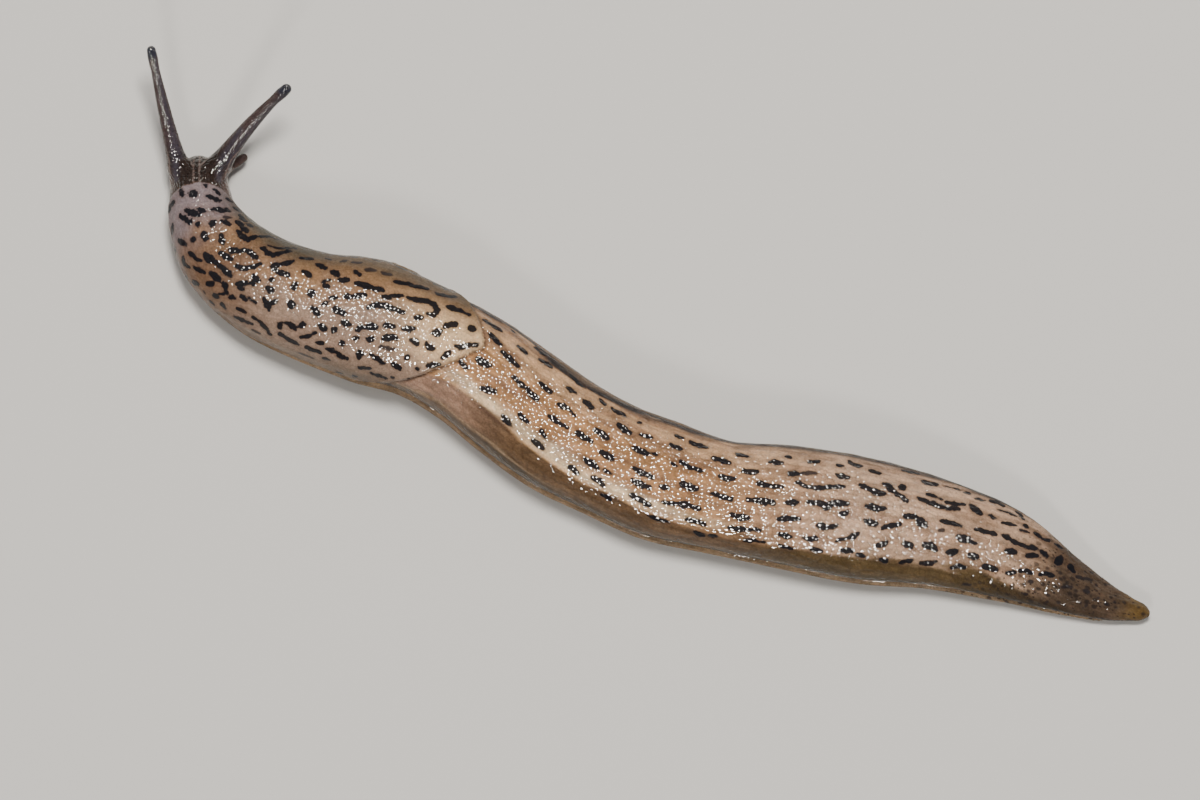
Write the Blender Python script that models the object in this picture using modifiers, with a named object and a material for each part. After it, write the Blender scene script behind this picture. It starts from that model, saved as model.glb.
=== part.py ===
"""A leopard slug (Limax maximus) at life size, crawling with its head turned and its tentacles out.

The script works in millimetres and writes metres. The sole lies at z = 0, +Z is up, the head
points to -X and the tail to +X. The slug's right-hand side is towards +Y.
"""
import math

import bmesh
import bpy
import numpy as np
from mathutils import Matrix, Vector

NAME = "leopard_slug"
MM = 0.001

# Gap that neighbouring pieces keep
GAP = 0.3

# Stations along the mid-line, from the snout to the tip of the tail: x, y, half width, height
STATIONS = np.array((
    (-66.1, 6.0, 2.7, 4.6),
    (-64.4, 2.3, 3.9, 6.6),
    (-61.6, -1.9, 4.6, 7.9),
    (-57.7, -5.0, 5.6, 9.2),
    (-50.5, -7.1, 6.4, 10.8),
    (-43.0, -7.0, 7.0, 11.9),
    (-35.5, -5.8, 7.9, 12.2),
    (-28.0, -5.35, 7.35, 12.1),
    (-20.4, -5.95, 7.6, 11.6),
    (-13.1, -7.6, 7.9, 11.3),
    (-5.7, -9.15, 7.95, 11.2),
    (1.8, -9.65, 7.7, 11.1),
    (9.4, -9.45, 7.9, 11.0),
    (16.9, -8.4, 7.4, 10.8),
    (26.6, -5.7, 8.05, 10.6),
    (36.4, -3.3, 8.2, 9.9),
    (46.1, -0.95, 7.2, 8.6),
    (56.1, 0.2, 6.0, 6.8),
    (63.7, -0.1, 4.15, 5.0),
    (71.2, 0.05, 2.3, 3.0),
    (76.5, 0.9, 0.9, 1.9),
))
STATION_X, STATION_Y, STATION_HALF, STATION_HEIGHT = STATIONS.T
ALONG = np.concatenate([[0.0], np.cumsum(np.hypot(np.diff(STATION_X), np.diff(STATION_Y)))])
LENGTH = ALONG[-1]
SNOUT_ROUNDING = 2.4
TAIL_ROUNDING = 1.4

# Lengths that the body is divided into: node, distance of its rear end from the snout
BODY_LENGTHS = (
    ("neck", 18.0),
    ("trunk_front", 56.5),
    ("trunk_middle", 86.0),
    ("trunk_rear", 114.0),
    ("tail", 136.0),
    ("tail_tip", LENGTH),
)
HEAD_END = 9.5

# Cross-section of the body: superellipse above the widest line, tucked in below it
ROUNDNESS_BODY = 2.2
ROUNDNESS_TAIL = 1.6
WIDEST_AT = 0.36
UNDERCUT_BODY = 28.0
UNDERCUT_HEAD = 50.0
KEEL_START = 104.0
KEEL_FULL = 124.0
KEEL_HEIGHT = 0.5
KEEL_HALF_WIDTH = 1.0

# The foot under the body, with its fringe just proud of the flanks
FOOT_START = 5.4
FOOT_END = 146.2
FOOT_THICKNESS = 1.6
FOOT_EDGE_THICKNESS = 0.6
FOOT_FRINGE = 0.1
FOOT_LENGTHS = (("foot_front", 52.0), ("foot_middle", 99.0), ("foot_rear", FOOT_END))

# The mantle, a saddle that lies over the neck and the front of the trunk
MANTLE_THICKNESS = 0.8
MANTLE_SIDE = 0.78
MANTLE_FRONT = 4.6
MANTLE_FRONT_SWEEP = {"left": 3.2, "right": 5.5}
MANTLE_REAR = 52.5
MANTLE_REAR_SWEEP = 9.3
MANTLE_POINT = 0.17
MANTLE_POINT_BLUNTNESS = 0.04
MANTLE_CORNER = 4.0
MANTLE_INSET = MANTLE_THICKNESS + GAP
MANTLE_MARGIN = 0.04
MANTLE_GRID = (36, 18)
PORE_ALONG = 39.0
PORE_RADIUS = 0.9

# Mesh fineness: points over the back from flank to flank, and spacing of the sections
GIRTH_POINTS = 31
SECTION_SPACING = 2.5
FINE_SPACING = 1.2

# Optic tentacles: middle of the root, tip, sideways bow, and the radius at each tenth
OPTIC = {
    "left": {"root": (-67.8, 3.2, 4.3), "tip": (-77.2, 15.6, 11.0), "bow": 0.15, "stoutness": 1.08},
    "right": {"root": (-62.9, 5.4, 4.3), "tip": (-57.5, 17.8, 13.2), "bow": 0.5, "stoutness": 1.22},
}
OPTIC_RADII = (1.55, 1.24, 1.05, 0.93, 0.86, 0.79, 0.71, 0.63, 0.55, 0.64, 0.54)
OPTIC_ROOT_END = 0.16
OPTIC_JOINT = 0.55
EYE_RADIUS = 0.46

# Oral tentacles, the short lower pair
ORAL = {
    "left": {"root": (-67.9, 2.6, 2.7), "tip": (-70.2, 5.6, 2.0), "bow": 0.0, "stoutness": 1.0},
    "right": {"root": (-62.2, 5.2, 2.7), "tip": (-60.4, 8.6, 2.0), "bow": 0.0, "stoutness": 1.0},
}
ORAL_RADII = (0.85, 0.8, 0.75, 0.7, 0.67, 0.65, 0.64, 0.64, 0.64, 0.6, 0.4)
ORAL_ROOT_END = 0.42
ROOT_SUNK = 2.2

# Lips under the snout, with the mouth between them
LIP_SIZE = (0.95, 1.15, 0.8)
LIP_SPREAD = 0.8
LIP_HEIGHT = 1.5
LIP_FORWARD = 0.15
MOUTH_WIDTH = 0.5
MOUTH_DEPTH = 1.0

COLOURS = {
    "head": (0.115, 0.085, 0.068),
    "neck": (0.13, 0.1, 0.08),
    "mantle": (0.42, 0.29, 0.21),
    "trunk": (0.4, 0.28, 0.2),
    "tail": (0.23, 0.155, 0.11),
    "foot": (0.45, 0.37, 0.29),
    "tentacle": (0.085, 0.07, 0.075),
    "eye": (0.01, 0.01, 0.012),
}
ROUGHNESS = {"eye": 0.08}
SKIN_ROUGHNESS = 0.3


def clear_scene():
    for item in list(bpy.data.objects):
        bpy.data.objects.remove(item, do_unlink=True)


def collection(name):
    made = bpy.data.collections.new(name)
    bpy.context.scene.collection.children.link(made)
    return made


def ease(value, low, high):
    """0 below low, 1 above high, and a soft step between them."""
    t = min(max((value - low) / (high - low), 0.0), 1.0)
    return t * t * (3 - 2 * t)


def smooth(at, values):
    """Value at a distance along the body, on a soft curve through the stations."""
    slopes = np.gradient(values, ALONG)
    at = min(max(at, 0.0), LENGTH)
    i = int(np.clip(np.searchsorted(ALONG, at, side="right") - 1, 0, len(ALONG) - 2))
    span = ALONG[i + 1] - ALONG[i]
    t = (at - ALONG[i]) / span
    start = (1 + 2 * t) * (1 - t) ** 2 * values[i] + t * (1 - t) ** 2 * span * slopes[i]
    end = t * t * (3 - 2 * t) * values[i + 1] - t * t * (1 - t) * span * slopes[i + 1]
    return float(start + end)


def centre(along):
    return Vector((smooth(along, STATION_X), smooth(along, STATION_Y), 0.0))


def backward(along):
    """Unit direction of the mid-line, from head to tail."""
    step = 0.4
    return (centre(along + step) - centre(along - step)).normalized()


def rightward(along):
    back = backward(along)
    return Vector((-back.y, back.x, 0.0))


def closing(along):
    """Rounds the snout and the tip of the tail: 1 along the body and 0 at its very ends."""
    reach = min(along / SNOUT_ROUNDING, (LENGTH - along) / TAIL_ROUNDING, 1.0)
    return math.sqrt(max(1 - (1 - reach) ** 2, 0.0))


def foot_thickness(along):
    nose = ease(along, FOOT_START, FOOT_START + 3.0)
    heel = 1 - ease(along, FOOT_END - 20.0, FOOT_END)
    return FOOT_EDGE_THICKNESS + (FOOT_THICKNESS - FOOT_EDGE_THICKNESS) * nose * heel


def belly(along):
    return foot_thickness(along) + GAP


def arch(along, girth):
    """Across and up, on the section there. Girth runs from -1, low on the left, to 1, low on the right."""
    half = smooth(along, STATION_HALF)
    top = smooth(along, STATION_HEIGHT)
    low = belly(along)
    waist = low + (top - low) * WIDEST_AT
    roundness = ROUNDNESS_BODY + (ROUNDNESS_TAIL - ROUNDNESS_BODY) * ease(along, 96.0, 132.0)
    undercut = math.radians(UNDERCUT_HEAD + (UNDERCUT_BODY - UNDERCUT_HEAD) * ease(along, 2.0, 10.0))
    angle = math.pi / 2 - abs(girth) * (math.pi / 2 + undercut)
    across = half * math.cos(angle) ** (2 / roundness)
    if angle >= 0:
        up = waist + (top - waist) * math.sin(angle) ** (2 / roundness)
    else:
        up = waist - (waist - low) * math.sin(-angle) / math.sin(undercut)
    keel = KEEL_HEIGHT * ease(along, KEEL_START, KEEL_FULL) * math.exp(-(across / KEEL_HALF_WIDTH) ** 2)
    middle = (top + low) / 2
    scale = closing(along)
    return math.copysign(across, girth) * scale, middle + (up + keel - middle) * scale


def surface(along, girth, inset=0.0):
    """World point on the body's skin, or at a depth under it."""
    step = 0.02
    before = arch(along, max(girth - step, -1.0))
    after = arch(along, min(girth + step, 1.0))
    run, rise = after[0] - before[0], after[1] - before[1]
    size = math.hypot(run, rise) or 1.0
    across, up = arch(along, girth)
    across += inset * rise / size
    up = max(up - inset * run / size, belly(along) if abs(girth) > 0.9 else 0.0)
    return centre(along) + rightward(along) * across + Vector((0.0, 0.0, up))


def mantle_front(side):
    """Distance of the mantle's front edge from the snout. Side runs from -1, left, to 1, right."""
    sweep = MANTLE_FRONT_SWEEP["left" if side < 0 else "right"]
    return MANTLE_FRONT + sweep * side ** 2 + MANTLE_CORNER * side ** 8


def mantle_rear(side):
    """Distance of the mantle's rear edge, which comes to a blunt point right of the middle."""
    off = side - MANTLE_POINT
    sweep = MANTLE_REAR_SWEEP * (math.hypot(off, MANTLE_POINT_BLUNTNESS) - MANTLE_POINT_BLUNTNESS)
    return MANTLE_REAR - sweep - MANTLE_CORNER * (off / (1 + MANTLE_POINT)) ** 8


def under_mantle(along, girth):
    """1 where the mantle covers the body, 0 clear of it."""
    reach = MANTLE_SIDE + MANTLE_MARGIN
    side = min(max(girth / reach, -1.0), 1.0)
    flank = 1 - ease(abs(girth), reach, reach + 0.11)
    front = ease(along, mantle_front(side) - 2.4, mantle_front(side) - 0.6)
    rear = 1 - ease(along, mantle_rear(side) + 0.6, mantle_rear(side) + 3.2)
    return flank * front * rear


def body_ring(along):
    ring = []
    for girth in np.linspace(-1.0, 1.0, GIRTH_POINTS):
        ring.append(surface(along, girth, MANTLE_INSET * under_mantle(along, girth)))
    return ring


def foot_ring(along):
    """Section of the foot: flat below, with a rounded fringe."""
    thick = foot_thickness(along) / FOOT_THICKNESS
    nose = min((along - FOOT_START) / 3.0 + 0.03, 1.0)
    heel = min((FOOT_END - along) / 2.5 + 0.03, 1.0)
    plan = math.sqrt(1 - (1 - nose) ** 2) * math.sqrt(1 - (1 - heel) ** 2)
    half = (smooth(along, STATION_HALF) + FOOT_FRINGE) * plan
    fringe = min(0.8, half / 2)
    side = (
        (half - fringe * 0.55, 0.0),
        (half - fringe * 0.08, 0.4),
        (half, 0.8),
        (half - fringe * 0.3, 1.25),
        (half - fringe, FOOT_THICKNESS),
    )
    outline = list(side) + [(-across, up) for across, up in reversed(side)]
    return [centre(along) + rightward(along) * across + Vector((0.0, 0.0, up * thick)) for across, up in outline]


def steps(start, end, spacing):
    count = max(2, math.ceil((end - start) / spacing) + 1)
    return list(np.linspace(start, end, count))


def rounded_steps(end, rounding, forward):
    """Section places that close in on a rounded end of the body."""
    places = [rounding * (1 - math.cos(math.radians(turn))) for turn in (10, 28, 46, 64, 80)]
    if forward:
        return [end + place for place in places]
    return [end - place for place in reversed(places)]


def new_object(name, mesh, group, material):
    made = bpy.data.objects.new(name, mesh)
    mesh.materials.append(material)
    mesh.shade_smooth()
    mesh.set_sharp_from_angle(angle=math.radians(40))
    group.objects.link(made)
    return made


def loft(name, rings, group, material):
    """Closed solid through rings of equal count, with a flat face at each end."""
    shape = bmesh.new()
    rows = [[shape.verts.new(point * MM) for point in ring] for ring in rings]
    for row, following in zip(rows, rows[1:]):
        for i in range(len(row)):
            j = (i + 1) % len(row)
            shape.faces.new((row[i], row[j], following[j], following[i]))
    shape.faces.new(reversed(rows[0]))
    shape.faces.new(rows[-1])
    bmesh.ops.recalc_face_normals(shape, faces=shape.faces)
    mesh = bpy.data.meshes.new(name)
    shape.to_mesh(mesh)
    shape.free()
    return new_object(name, mesh, group, material)


def tube(name, points, radii, group, material):
    """Closed mesh tube of changing radius, from a bevelled curve."""
    curve = bpy.data.curves.new(name, "CURVE")
    curve.dimensions = "3D"
    curve.bevel_depth = MM
    curve.bevel_resolution = 4
    curve.use_fill_caps = True
    spline = curve.splines.new("POLY")
    spline.points.add(len(points) - 1)
    for spot, point, radius in zip(spline.points, points, radii):
        spot.co = (*(point * MM), 1.0)
        spot.radius = radius
    holder = bpy.data.objects.new(name + "_curve", curve)
    bpy.context.scene.collection.objects.link(holder)
    evaluated = holder.evaluated_get(bpy.context.evaluated_depsgraph_get())
    mesh = bpy.data.meshes.new_from_object(evaluated)
    bpy.data.objects.remove(holder)
    shape = bmesh.new()
    shape.from_mesh(mesh)
    bmesh.ops.remove_doubles(shape, verts=shape.verts, dist=1e-6)
    bmesh.ops.recalc_face_normals(shape, faces=shape.faces)
    shape.to_mesh(mesh)
    shape.free()
    mesh.name = name
    return new_object(name, mesh, group, material)


def ellipsoid(name, place, size, turn, group, material):
    shape = bmesh.new()
    bmesh.ops.create_uvsphere(shape, u_segments=14, v_segments=9, radius=MM)
    mesh = bpy.data.meshes.new(name)
    shape.to_mesh(mesh)
    shape.free()
    mesh.transform(Matrix.Translation(place * MM) @ turn @ Matrix.Diagonal((*size, 1.0)))
    return new_object(name, mesh, group, material)


def boolean(target, kind, others):
    """Applies one Boolean with a collection of closed meshes, and removes them."""
    cutter = target.modifiers.new(kind.lower(), "BOOLEAN")
    cutter.operation = kind
    cutter.solver = "EXACT"
    cutter.operand_type = "COLLECTION"
    cutter.collection = others
    evaluated = target.evaluated_get(bpy.context.evaluated_depsgraph_get())
    joined = bpy.data.meshes.new_from_object(evaluated)
    target.modifiers.clear()
    target.data = joined
    for item in list(others.objects):
        bpy.data.objects.remove(item, do_unlink=True)
    keep_largest(target)


def keep_largest(item):
    """Keeps only the largest closed surface of a mesh."""
    shape = bmesh.new()
    shape.from_mesh(item.data)
    left = set(shape.verts)
    islands = []
    while left:
        island, edge = set(), [left.pop()]
        while edge:
            spot = edge.pop()
            island.add(spot)
            for link in spot.link_edges:
                other = link.other_vert(spot)
                if other in left:
                    left.remove(other)
                    edge.append(other)
        islands.append(island)
    largest = max(islands, key=len)
    bmesh.ops.delete(shape, geom=[spot for spot in shape.verts if spot not in largest])
    shape.to_mesh(item.data)
    shape.free()


def feeler_point(shape, part):
    """Point at a fraction of the way from the root to the tip, negative inside the head."""
    root, tip = Vector(shape["root"]), Vector(shape["tip"])
    side = (tip - root).cross(Vector((0, 0, 1))).normalized()
    bow = shape["bow"] * 4 * part * (1 - part) if part > 0 else 0.0
    return root.lerp(tip, part) - side * bow


def feeler_tube(name, shape, radii, start, end, group, material):
    parts = [start + (end - start) * i / 8 for i in range(9)]
    points = [feeler_point(shape, part) for part in parts]
    tenths = np.linspace(0.0, 1.0, len(radii))
    sizes = [float(np.interp(part, tenths, radii)) * shape["stoutness"] for part in parts]
    return tube(name, points, sizes, group, material)


def feeler_length(shape):
    return (Vector(shape["tip"]) - Vector(shape["root"])).length


def make_materials():
    made = {}
    for name, colour in COLOURS.items():
        material = bpy.data.materials.new(name)
        material.use_nodes = True
        shader = material.node_tree.nodes["Principled BSDF"]
        shader.inputs["Base Color"].default_value = (*colour, 1.0)
        shader.inputs["Roughness"].default_value = ROUGHNESS.get(name, SKIN_ROUGHNESS)
        shader.inputs["Metallic"].default_value = 0.0
        made[name] = material
    return made


def make_head(group, joining, cutting, materials):
    """Head with the roots of both pairs of tentacles and the lips, and the mouth cut between them."""
    places = rounded_steps(0.0, SNOUT_ROUNDING, True) + steps(2.6, HEAD_END - GAP / 2, FINE_SPACING)
    head = loft("head", [body_ring(place) for place in places], group, materials["head"])
    for side in ("left", "right"):
        sunk = -ROOT_SUNK / feeler_length(OPTIC[side])
        feeler_tube("optic_root_" + side, OPTIC[side], OPTIC_RADII, sunk, OPTIC_ROOT_END,
                    joining, materials["head"])
        sunk = -ROOT_SUNK / feeler_length(ORAL[side])
        feeler_tube("oral_root_" + side, ORAL[side], ORAL_RADII, sunk, ORAL_ROOT_END,
                    joining, materials["head"])
    ahead = -backward(0.4)
    right = rightward(0.4)
    turn = Matrix((right, -ahead, Vector((0, 0, 1)))).transposed().to_4x4()
    for sign in (-1, 1):
        place = centre(1.2) + right * sign * LIP_SPREAD + ahead * LIP_FORWARD + Vector((0, 0, LIP_HEIGHT))
        ellipsoid("lip", place, LIP_SIZE, turn, joining, materials["head"])
    boolean(head, "UNION", joining)
    slit = centre(1.2) + ahead * (LIP_FORWARD + LIP_SIZE[1]) + Vector((0, 0, LIP_HEIGHT - 0.1))
    ellipsoid("mouth", slit, (MOUTH_WIDTH / 2, MOUTH_DEPTH, 0.8), turn, cutting, materials["head"])
    boolean(head, "DIFFERENCE", cutting)


def make_body(group, materials):
    start = HEAD_END
    for name, end in BODY_LENGTHS:
        fine = name in ("neck", "trunk_front", "tail_tip")
        last = end - GAP / 2 if end < LENGTH else LENGTH - TAIL_ROUNDING
        places = steps(start + GAP / 2, last, FINE_SPACING if fine else SECTION_SPACING)
        if end == LENGTH:
            places = places[:-1] + rounded_steps(LENGTH, TAIL_ROUNDING, False)
        material = materials[name.split("_")[0]]
        loft(name, [body_ring(place) for place in places], group, material)
        start = end


def make_foot(group, materials):
    start = FOOT_START
    for name, end in FOOT_LENGTHS:
        first = start + GAP / 2 if start > FOOT_START else start
        last = end - GAP / 2 if end < FOOT_END else end
        places = steps(first, last, SECTION_SPACING)
        if start == FOOT_START:
            places[1:1] = [start + reach for reach in (0.25, 0.8, 1.5)]
        if end == FOOT_END:
            places[-1:-1] = [end - reach for reach in (1.5, 0.8, 0.25)]
        loft(name, [foot_ring(place) for place in places], group, materials["foot"])
        start = end


def make_mantle(group, cutting, materials):
    """The saddle: a grid laid on the back between its margins, made solid inwards, with its breathing pore."""
    shape = bmesh.new()
    bmesh.ops.create_grid(shape, x_segments=MANTLE_GRID[0], y_segments=MANTLE_GRID[1], size=1.0)
    for spot in shape.verts:
        side = spot.co.y
        front, rear = mantle_front(side), mantle_rear(side)
        along = front + (rear - front) * (spot.co.x + 1) / 2
        spot.co = surface(along, side * MANTLE_SIDE) * MM
    mesh = bpy.data.meshes.new("mantle")
    shape.to_mesh(mesh)
    shape.free()
    mantle = new_object("mantle", mesh, group, materials["mantle"])
    solid = mantle.modifiers.new("thickness", "SOLIDIFY")
    solid.thickness = MANTLE_THICKNESS * MM
    solid.offset = -1.0
    solid.use_even_offset = True
    place = surface(PORE_ALONG, MANTLE_SIDE - 0.02)
    turn = Matrix.Rotation(math.atan2(backward(PORE_ALONG).y, backward(PORE_ALONG).x), 4, "Z")
    ellipsoid("pore", place, (PORE_RADIUS * 1.4, PORE_RADIUS * 2, PORE_RADIUS), turn, cutting, materials["mantle"])
    boolean(mantle, "DIFFERENCE", cutting)


def make_eye(name, shape, group, material):
    """Dome on the end of an optic tentacle, with its flat face to the tentacle."""
    tip = feeler_point(shape, 1.0)
    lead = (tip - feeler_point(shape, 0.97)).normalized()
    radius = EYE_RADIUS * shape["stoutness"]
    ball = bmesh.new()
    bmesh.ops.create_uvsphere(ball, u_segments=14, v_segments=10, radius=radius * MM)
    cut = bmesh.ops.bisect_plane(ball, geom=ball.verts[:] + ball.edges[:] + ball.faces[:], dist=1e-7,
                                 plane_co=(0, 0, 0), plane_no=(0, 0, 1), clear_inner=True)
    rim = [item for item in cut["geom_cut"] if isinstance(item, bmesh.types.BMEdge)]
    bmesh.ops.edgeloop_fill(ball, edges=rim)
    bmesh.ops.recalc_face_normals(ball, faces=ball.faces)
    mesh = bpy.data.meshes.new(name)
    ball.to_mesh(mesh)
    ball.free()
    aim = lead.to_track_quat("Z", "Y").to_matrix().to_4x4()
    mesh.transform(Matrix.Translation((tip - lead * radius) * MM) @ aim)
    new_object(name, mesh, group, material)


def make_feelers(group, materials):
    for side in ("left", "right"):
        shape = OPTIC[side]
        length = feeler_length(shape)
        gap = GAP / length
        end = 1 - (EYE_RADIUS * shape["stoutness"] + GAP) / length
        feeler_tube("optic_tentacle_" + side + "_base", shape, OPTIC_RADII, OPTIC_ROOT_END + gap,
                    OPTIC_JOINT, group, materials["tentacle"])
        feeler_tube("optic_tentacle_" + side + "_end", shape, OPTIC_RADII, OPTIC_JOINT + gap, end,
                    group, materials["tentacle"])
        make_eye("eye_" + side, shape, group, materials["eye"])
        gap = GAP / feeler_length(ORAL[side])
        feeler_tube("oral_tentacle_" + side, ORAL[side], ORAL_RADII, ORAL_ROOT_END + gap, 1.0,
                    group, materials["tentacle"])


def main():
    clear_scene()
    group = collection(NAME)
    joining = collection("joining")
    cutting = collection("cutting")
    materials = make_materials()
    make_head(group, joining, cutting, materials)
    make_body(group, materials)
    make_mantle(group, cutting, materials)
    make_foot(group, materials)
    make_feelers(group, materials)


main()
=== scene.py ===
"""Looks of the leopard slug: one unbroken wet skin with its markings, the eyes, a pale floor and light.

Shapes are worked out in millimetres and written in metres. The slug's head points to -X, and its
right-hand side is towards +Y. A place on the skin is given by its distance along the body from the
snout, and its distance around the section from the middle of the back, right side positive.
"""
import math

import bmesh
import bpy
import numpy as np
from mathutils import Matrix, Vector
from mathutils import noise
from mathutils.bvhtree import BVHTree
from mathutils.kdtree import KDTree

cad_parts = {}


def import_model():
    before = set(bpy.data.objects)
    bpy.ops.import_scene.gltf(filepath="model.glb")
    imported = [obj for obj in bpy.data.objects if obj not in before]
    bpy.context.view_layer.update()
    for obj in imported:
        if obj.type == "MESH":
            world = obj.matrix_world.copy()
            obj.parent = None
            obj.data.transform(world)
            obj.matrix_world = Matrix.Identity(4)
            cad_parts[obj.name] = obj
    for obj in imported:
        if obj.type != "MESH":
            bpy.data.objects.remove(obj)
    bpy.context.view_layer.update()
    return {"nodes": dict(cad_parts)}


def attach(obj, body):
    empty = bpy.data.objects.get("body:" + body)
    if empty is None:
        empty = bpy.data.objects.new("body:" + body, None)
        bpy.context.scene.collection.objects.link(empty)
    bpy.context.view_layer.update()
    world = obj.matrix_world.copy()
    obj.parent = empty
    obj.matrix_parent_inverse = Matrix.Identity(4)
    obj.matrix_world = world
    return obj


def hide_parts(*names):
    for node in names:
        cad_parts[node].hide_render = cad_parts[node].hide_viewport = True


MM = 0.001
UPWARD = (0.0, 0.0, 1.0)

# Stations along the mid-line, from the snout to the tip of the tail: x, y, half width, height
STATIONS = np.array((
    (-66.1, 6.0, 2.7, 4.6),
    (-64.4, 2.3, 3.9, 6.6),
    (-61.6, -1.9, 4.6, 7.9),
    (-57.7, -5.0, 5.6, 9.2),
    (-50.5, -7.1, 6.4, 10.8),
    (-43.0, -7.0, 7.0, 11.9),
    (-35.5, -5.8, 7.9, 12.2),
    (-28.0, -5.35, 7.35, 12.1),
    (-20.4, -5.95, 7.6, 11.6),
    (-13.1, -7.6, 7.9, 11.3),
    (-5.7, -9.15, 7.95, 11.2),
    (1.8, -9.65, 7.7, 11.1),
    (9.4, -9.45, 7.9, 11.0),
    (16.9, -8.4, 7.4, 10.8),
    (26.6, -5.7, 8.05, 10.6),
    (36.4, -3.3, 8.2, 9.9),
    (46.1, -0.95, 7.2, 8.6),
    (56.1, 0.2, 6.0, 6.8),
    (63.7, -0.1, 4.15, 5.0),
    (71.2, 0.05, 2.3, 3.0),
    (76.5, 0.9, 0.9, 1.9),
))
STATION_X, STATION_Y, STATION_HALF, STATION_HEIGHT = STATIONS.T
ALONG = np.concatenate([[0.0], np.cumsum(np.hypot(np.diff(STATION_X), np.diff(STATION_Y)))])
LENGTH = ALONG[-1]

# Rounding of the snout and the tail, and how the sections change on the way
SNOUT_ROUNDING = 2.4
TAIL_ROUNDING = 1.4
WIDEST_AT = 0.36
ROUNDNESS = 2.2
TAIL_SHARPENING = 0.6
SHARPENING = (96.0, 132.0)
SNOUT_UNDERCUT = 50.0
UNDERCUT_LOSS = 22.0
SNOUT_LENGTH = (2.0, 10.0)
KEEL_HEIGHT = 0.5
KEEL_START = (104.0, 124.0)
GIRTHS = np.linspace(0.0, 1.0, 31)

# The foot, with its fringe: inward and upward steps from its upper rim down to the sole
FOOT_START = 5.4
FOOT_END = 146.2
FOOT_NOSE = 3.0
FOOT_HEEL = 2.5
FOOT_THINNING = 20.0
FOOT_THICKNESS = 1.6
FOOT_EDGE_THICKNESS = 0.6
FOOT_OVERLAP = 0.3
FOOT_FRINGE = 0.1
FRINGE_WIDTH = 0.8
FRINGE_INWARD = (1.0, 0.55, 0.3, 0.1, 0.0, 0.08, 0.3, 0.55)
FRINGE_UPWARD = (1.6, 1.45, 1.25, 1.0, 0.8, 0.4, 0.12, 0.0)

# Distance between the rings of the body and the foot, the number of points in the tentacles' and lips'
# rings, and how far the flanks reach down into the foot
RING_STEP = 0.5
RING_SIZE = 24
FLANK_DEPTH = 0.7

# Tentacles: middle of the root, tip, sideways bow, stoutness, turn of the dark line on top, the parts of
# the way along from which each stands free of the head and gets its own thickness back after the
# smoothing, and the radius at each tenth
OPTIC_RADII = (1.55, 1.24, 1.05, 0.93, 0.86, 0.79, 0.71, 0.63, 0.55, 0.64, 0.54)
ORAL_RADII = (0.85, 0.8, 0.75, 0.7, 0.67, 0.65, 0.64, 0.64, 0.64, 0.6, 0.4)
OPTIC = (
    {"root": (-67.8, 3.2, 4.3), "tip": (-77.2, 15.6, 11.0), "bow": 0.15, "stoutness": 1.08, "core": 1.2,
     "free": 0.1, "restored": 0.15, "radii": OPTIC_RADII},
    {"root": (-62.9, 5.4, 4.3), "tip": (-57.5, 17.8, 13.2), "bow": 0.5, "stoutness": 1.22, "core": 0.7,
     "free": 0.1, "restored": 0.15, "radii": OPTIC_RADII},
)
ORAL = (
    {"root": (-67.9, 2.6, 2.7), "tip": (-70.2, 5.6, 2.0), "bow": 0.0, "stoutness": 1.0, "core": 0.0,
     "free": 0.4, "restored": 0.4, "radii": ORAL_RADII},
    {"root": (-62.2, 5.2, 2.7), "tip": (-60.4, 8.6, 2.0), "bow": 0.0, "stoutness": 1.0, "core": 0.0,
     "free": 0.4, "restored": 0.4, "radii": ORAL_RADII},
)
ROOT_DEPTH = 2.2
EYE_RADIUS = 0.3
EYE_PROUD = 0.11

# The lips: place of each one's middle beside the mid-line, and its half sizes
LIP_PLACE = 1.2
LIP_SIDE = 0.8
LIP_AHEAD = 0.15
LIP_RISE = 1.5
LIP_HALF = (1.15, 0.95, 0.8)

# The mantle, whose sides run from -1, its left margin, to 1, its right one: the girth at its margins,
# the side of its rear point, its ends, and how much its edges draw back towards the margins
MANTLE_SIDE = 0.78
MANTLE_POINT = 0.17
MANTLE_START = 4.6
MANTLE_END = 52.5
FRONT_SWEEP_LEFT = 3.2
FRONT_SWEEP_RIGHT = 5.5
REAR_SWEEP = 9.3
CORNER_SWEEP = 4.0

# Breathing pore, in the mantle's right margin: place along and side, half its length and height, and how
# far around it no marks lie
PORE_ALONG = 39.0
PORE_SIDE = 0.93
PORE_LENGTH = 1.15
PORE_HEIGHT = 0.75
PORE_CLEARING = 1.6

# Relief of the skin: the mantle's height, its swollen rim and the groove before it, the pore and wrinkles
MANTLE_RISE = 0.36
RIM_SWELL = 0.12
GROOVE_DEPTH = 0.22
PORE_LIP = 0.14
PORE_DEPTH = 0.6
WRINKLE_HEIGHT = 0.05

# Sections every quarter of a millimetre, for finding places on the skin, and how far the sole's width
# is squeezed in the distances around
TABLE_STEP = 0.25
SOLE_SCALE = 0.25

# Size of the cells that the shells are fused through, and the pulls of the smoothing after that
VOXEL = 0.23
EVENING = (0.6, -0.62)
SHRINKING = (0.6,)
EVENING_TURNS = 8
ROOT_TURNS = 10

# The photo: its size in pixels, and the camera that stands in its place
PHOTO_WIDTH = 1200
PHOTO_HEIGHT = 800
VIEW_WIDTH = 161.4
VIEW_TARGET = Vector((-2.63, -2.94, 4.5))
VIEW_DISTANCE = 900.0
VIEW_TILT = math.radians(10.0)
PICTURE_UP = Vector((-0.4067, 0.9135, 0.0))
PIXEL = VIEW_WIDTH / PHOTO_WIDTH
SENSOR_WIDTH = 36.0

# Cosine of the steepest slope to the camera that takes a stroke, as steeper ones smear it
STEEPEST = 0.2

# Value of the marks' distances far outside them, and how much wider the strokes come out
OUTSIDE = -1.2
SPOT_SPREAD = 0.13
DASH_SPREAD = 0.12
FAINT_SPREAD = 0.1

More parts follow.
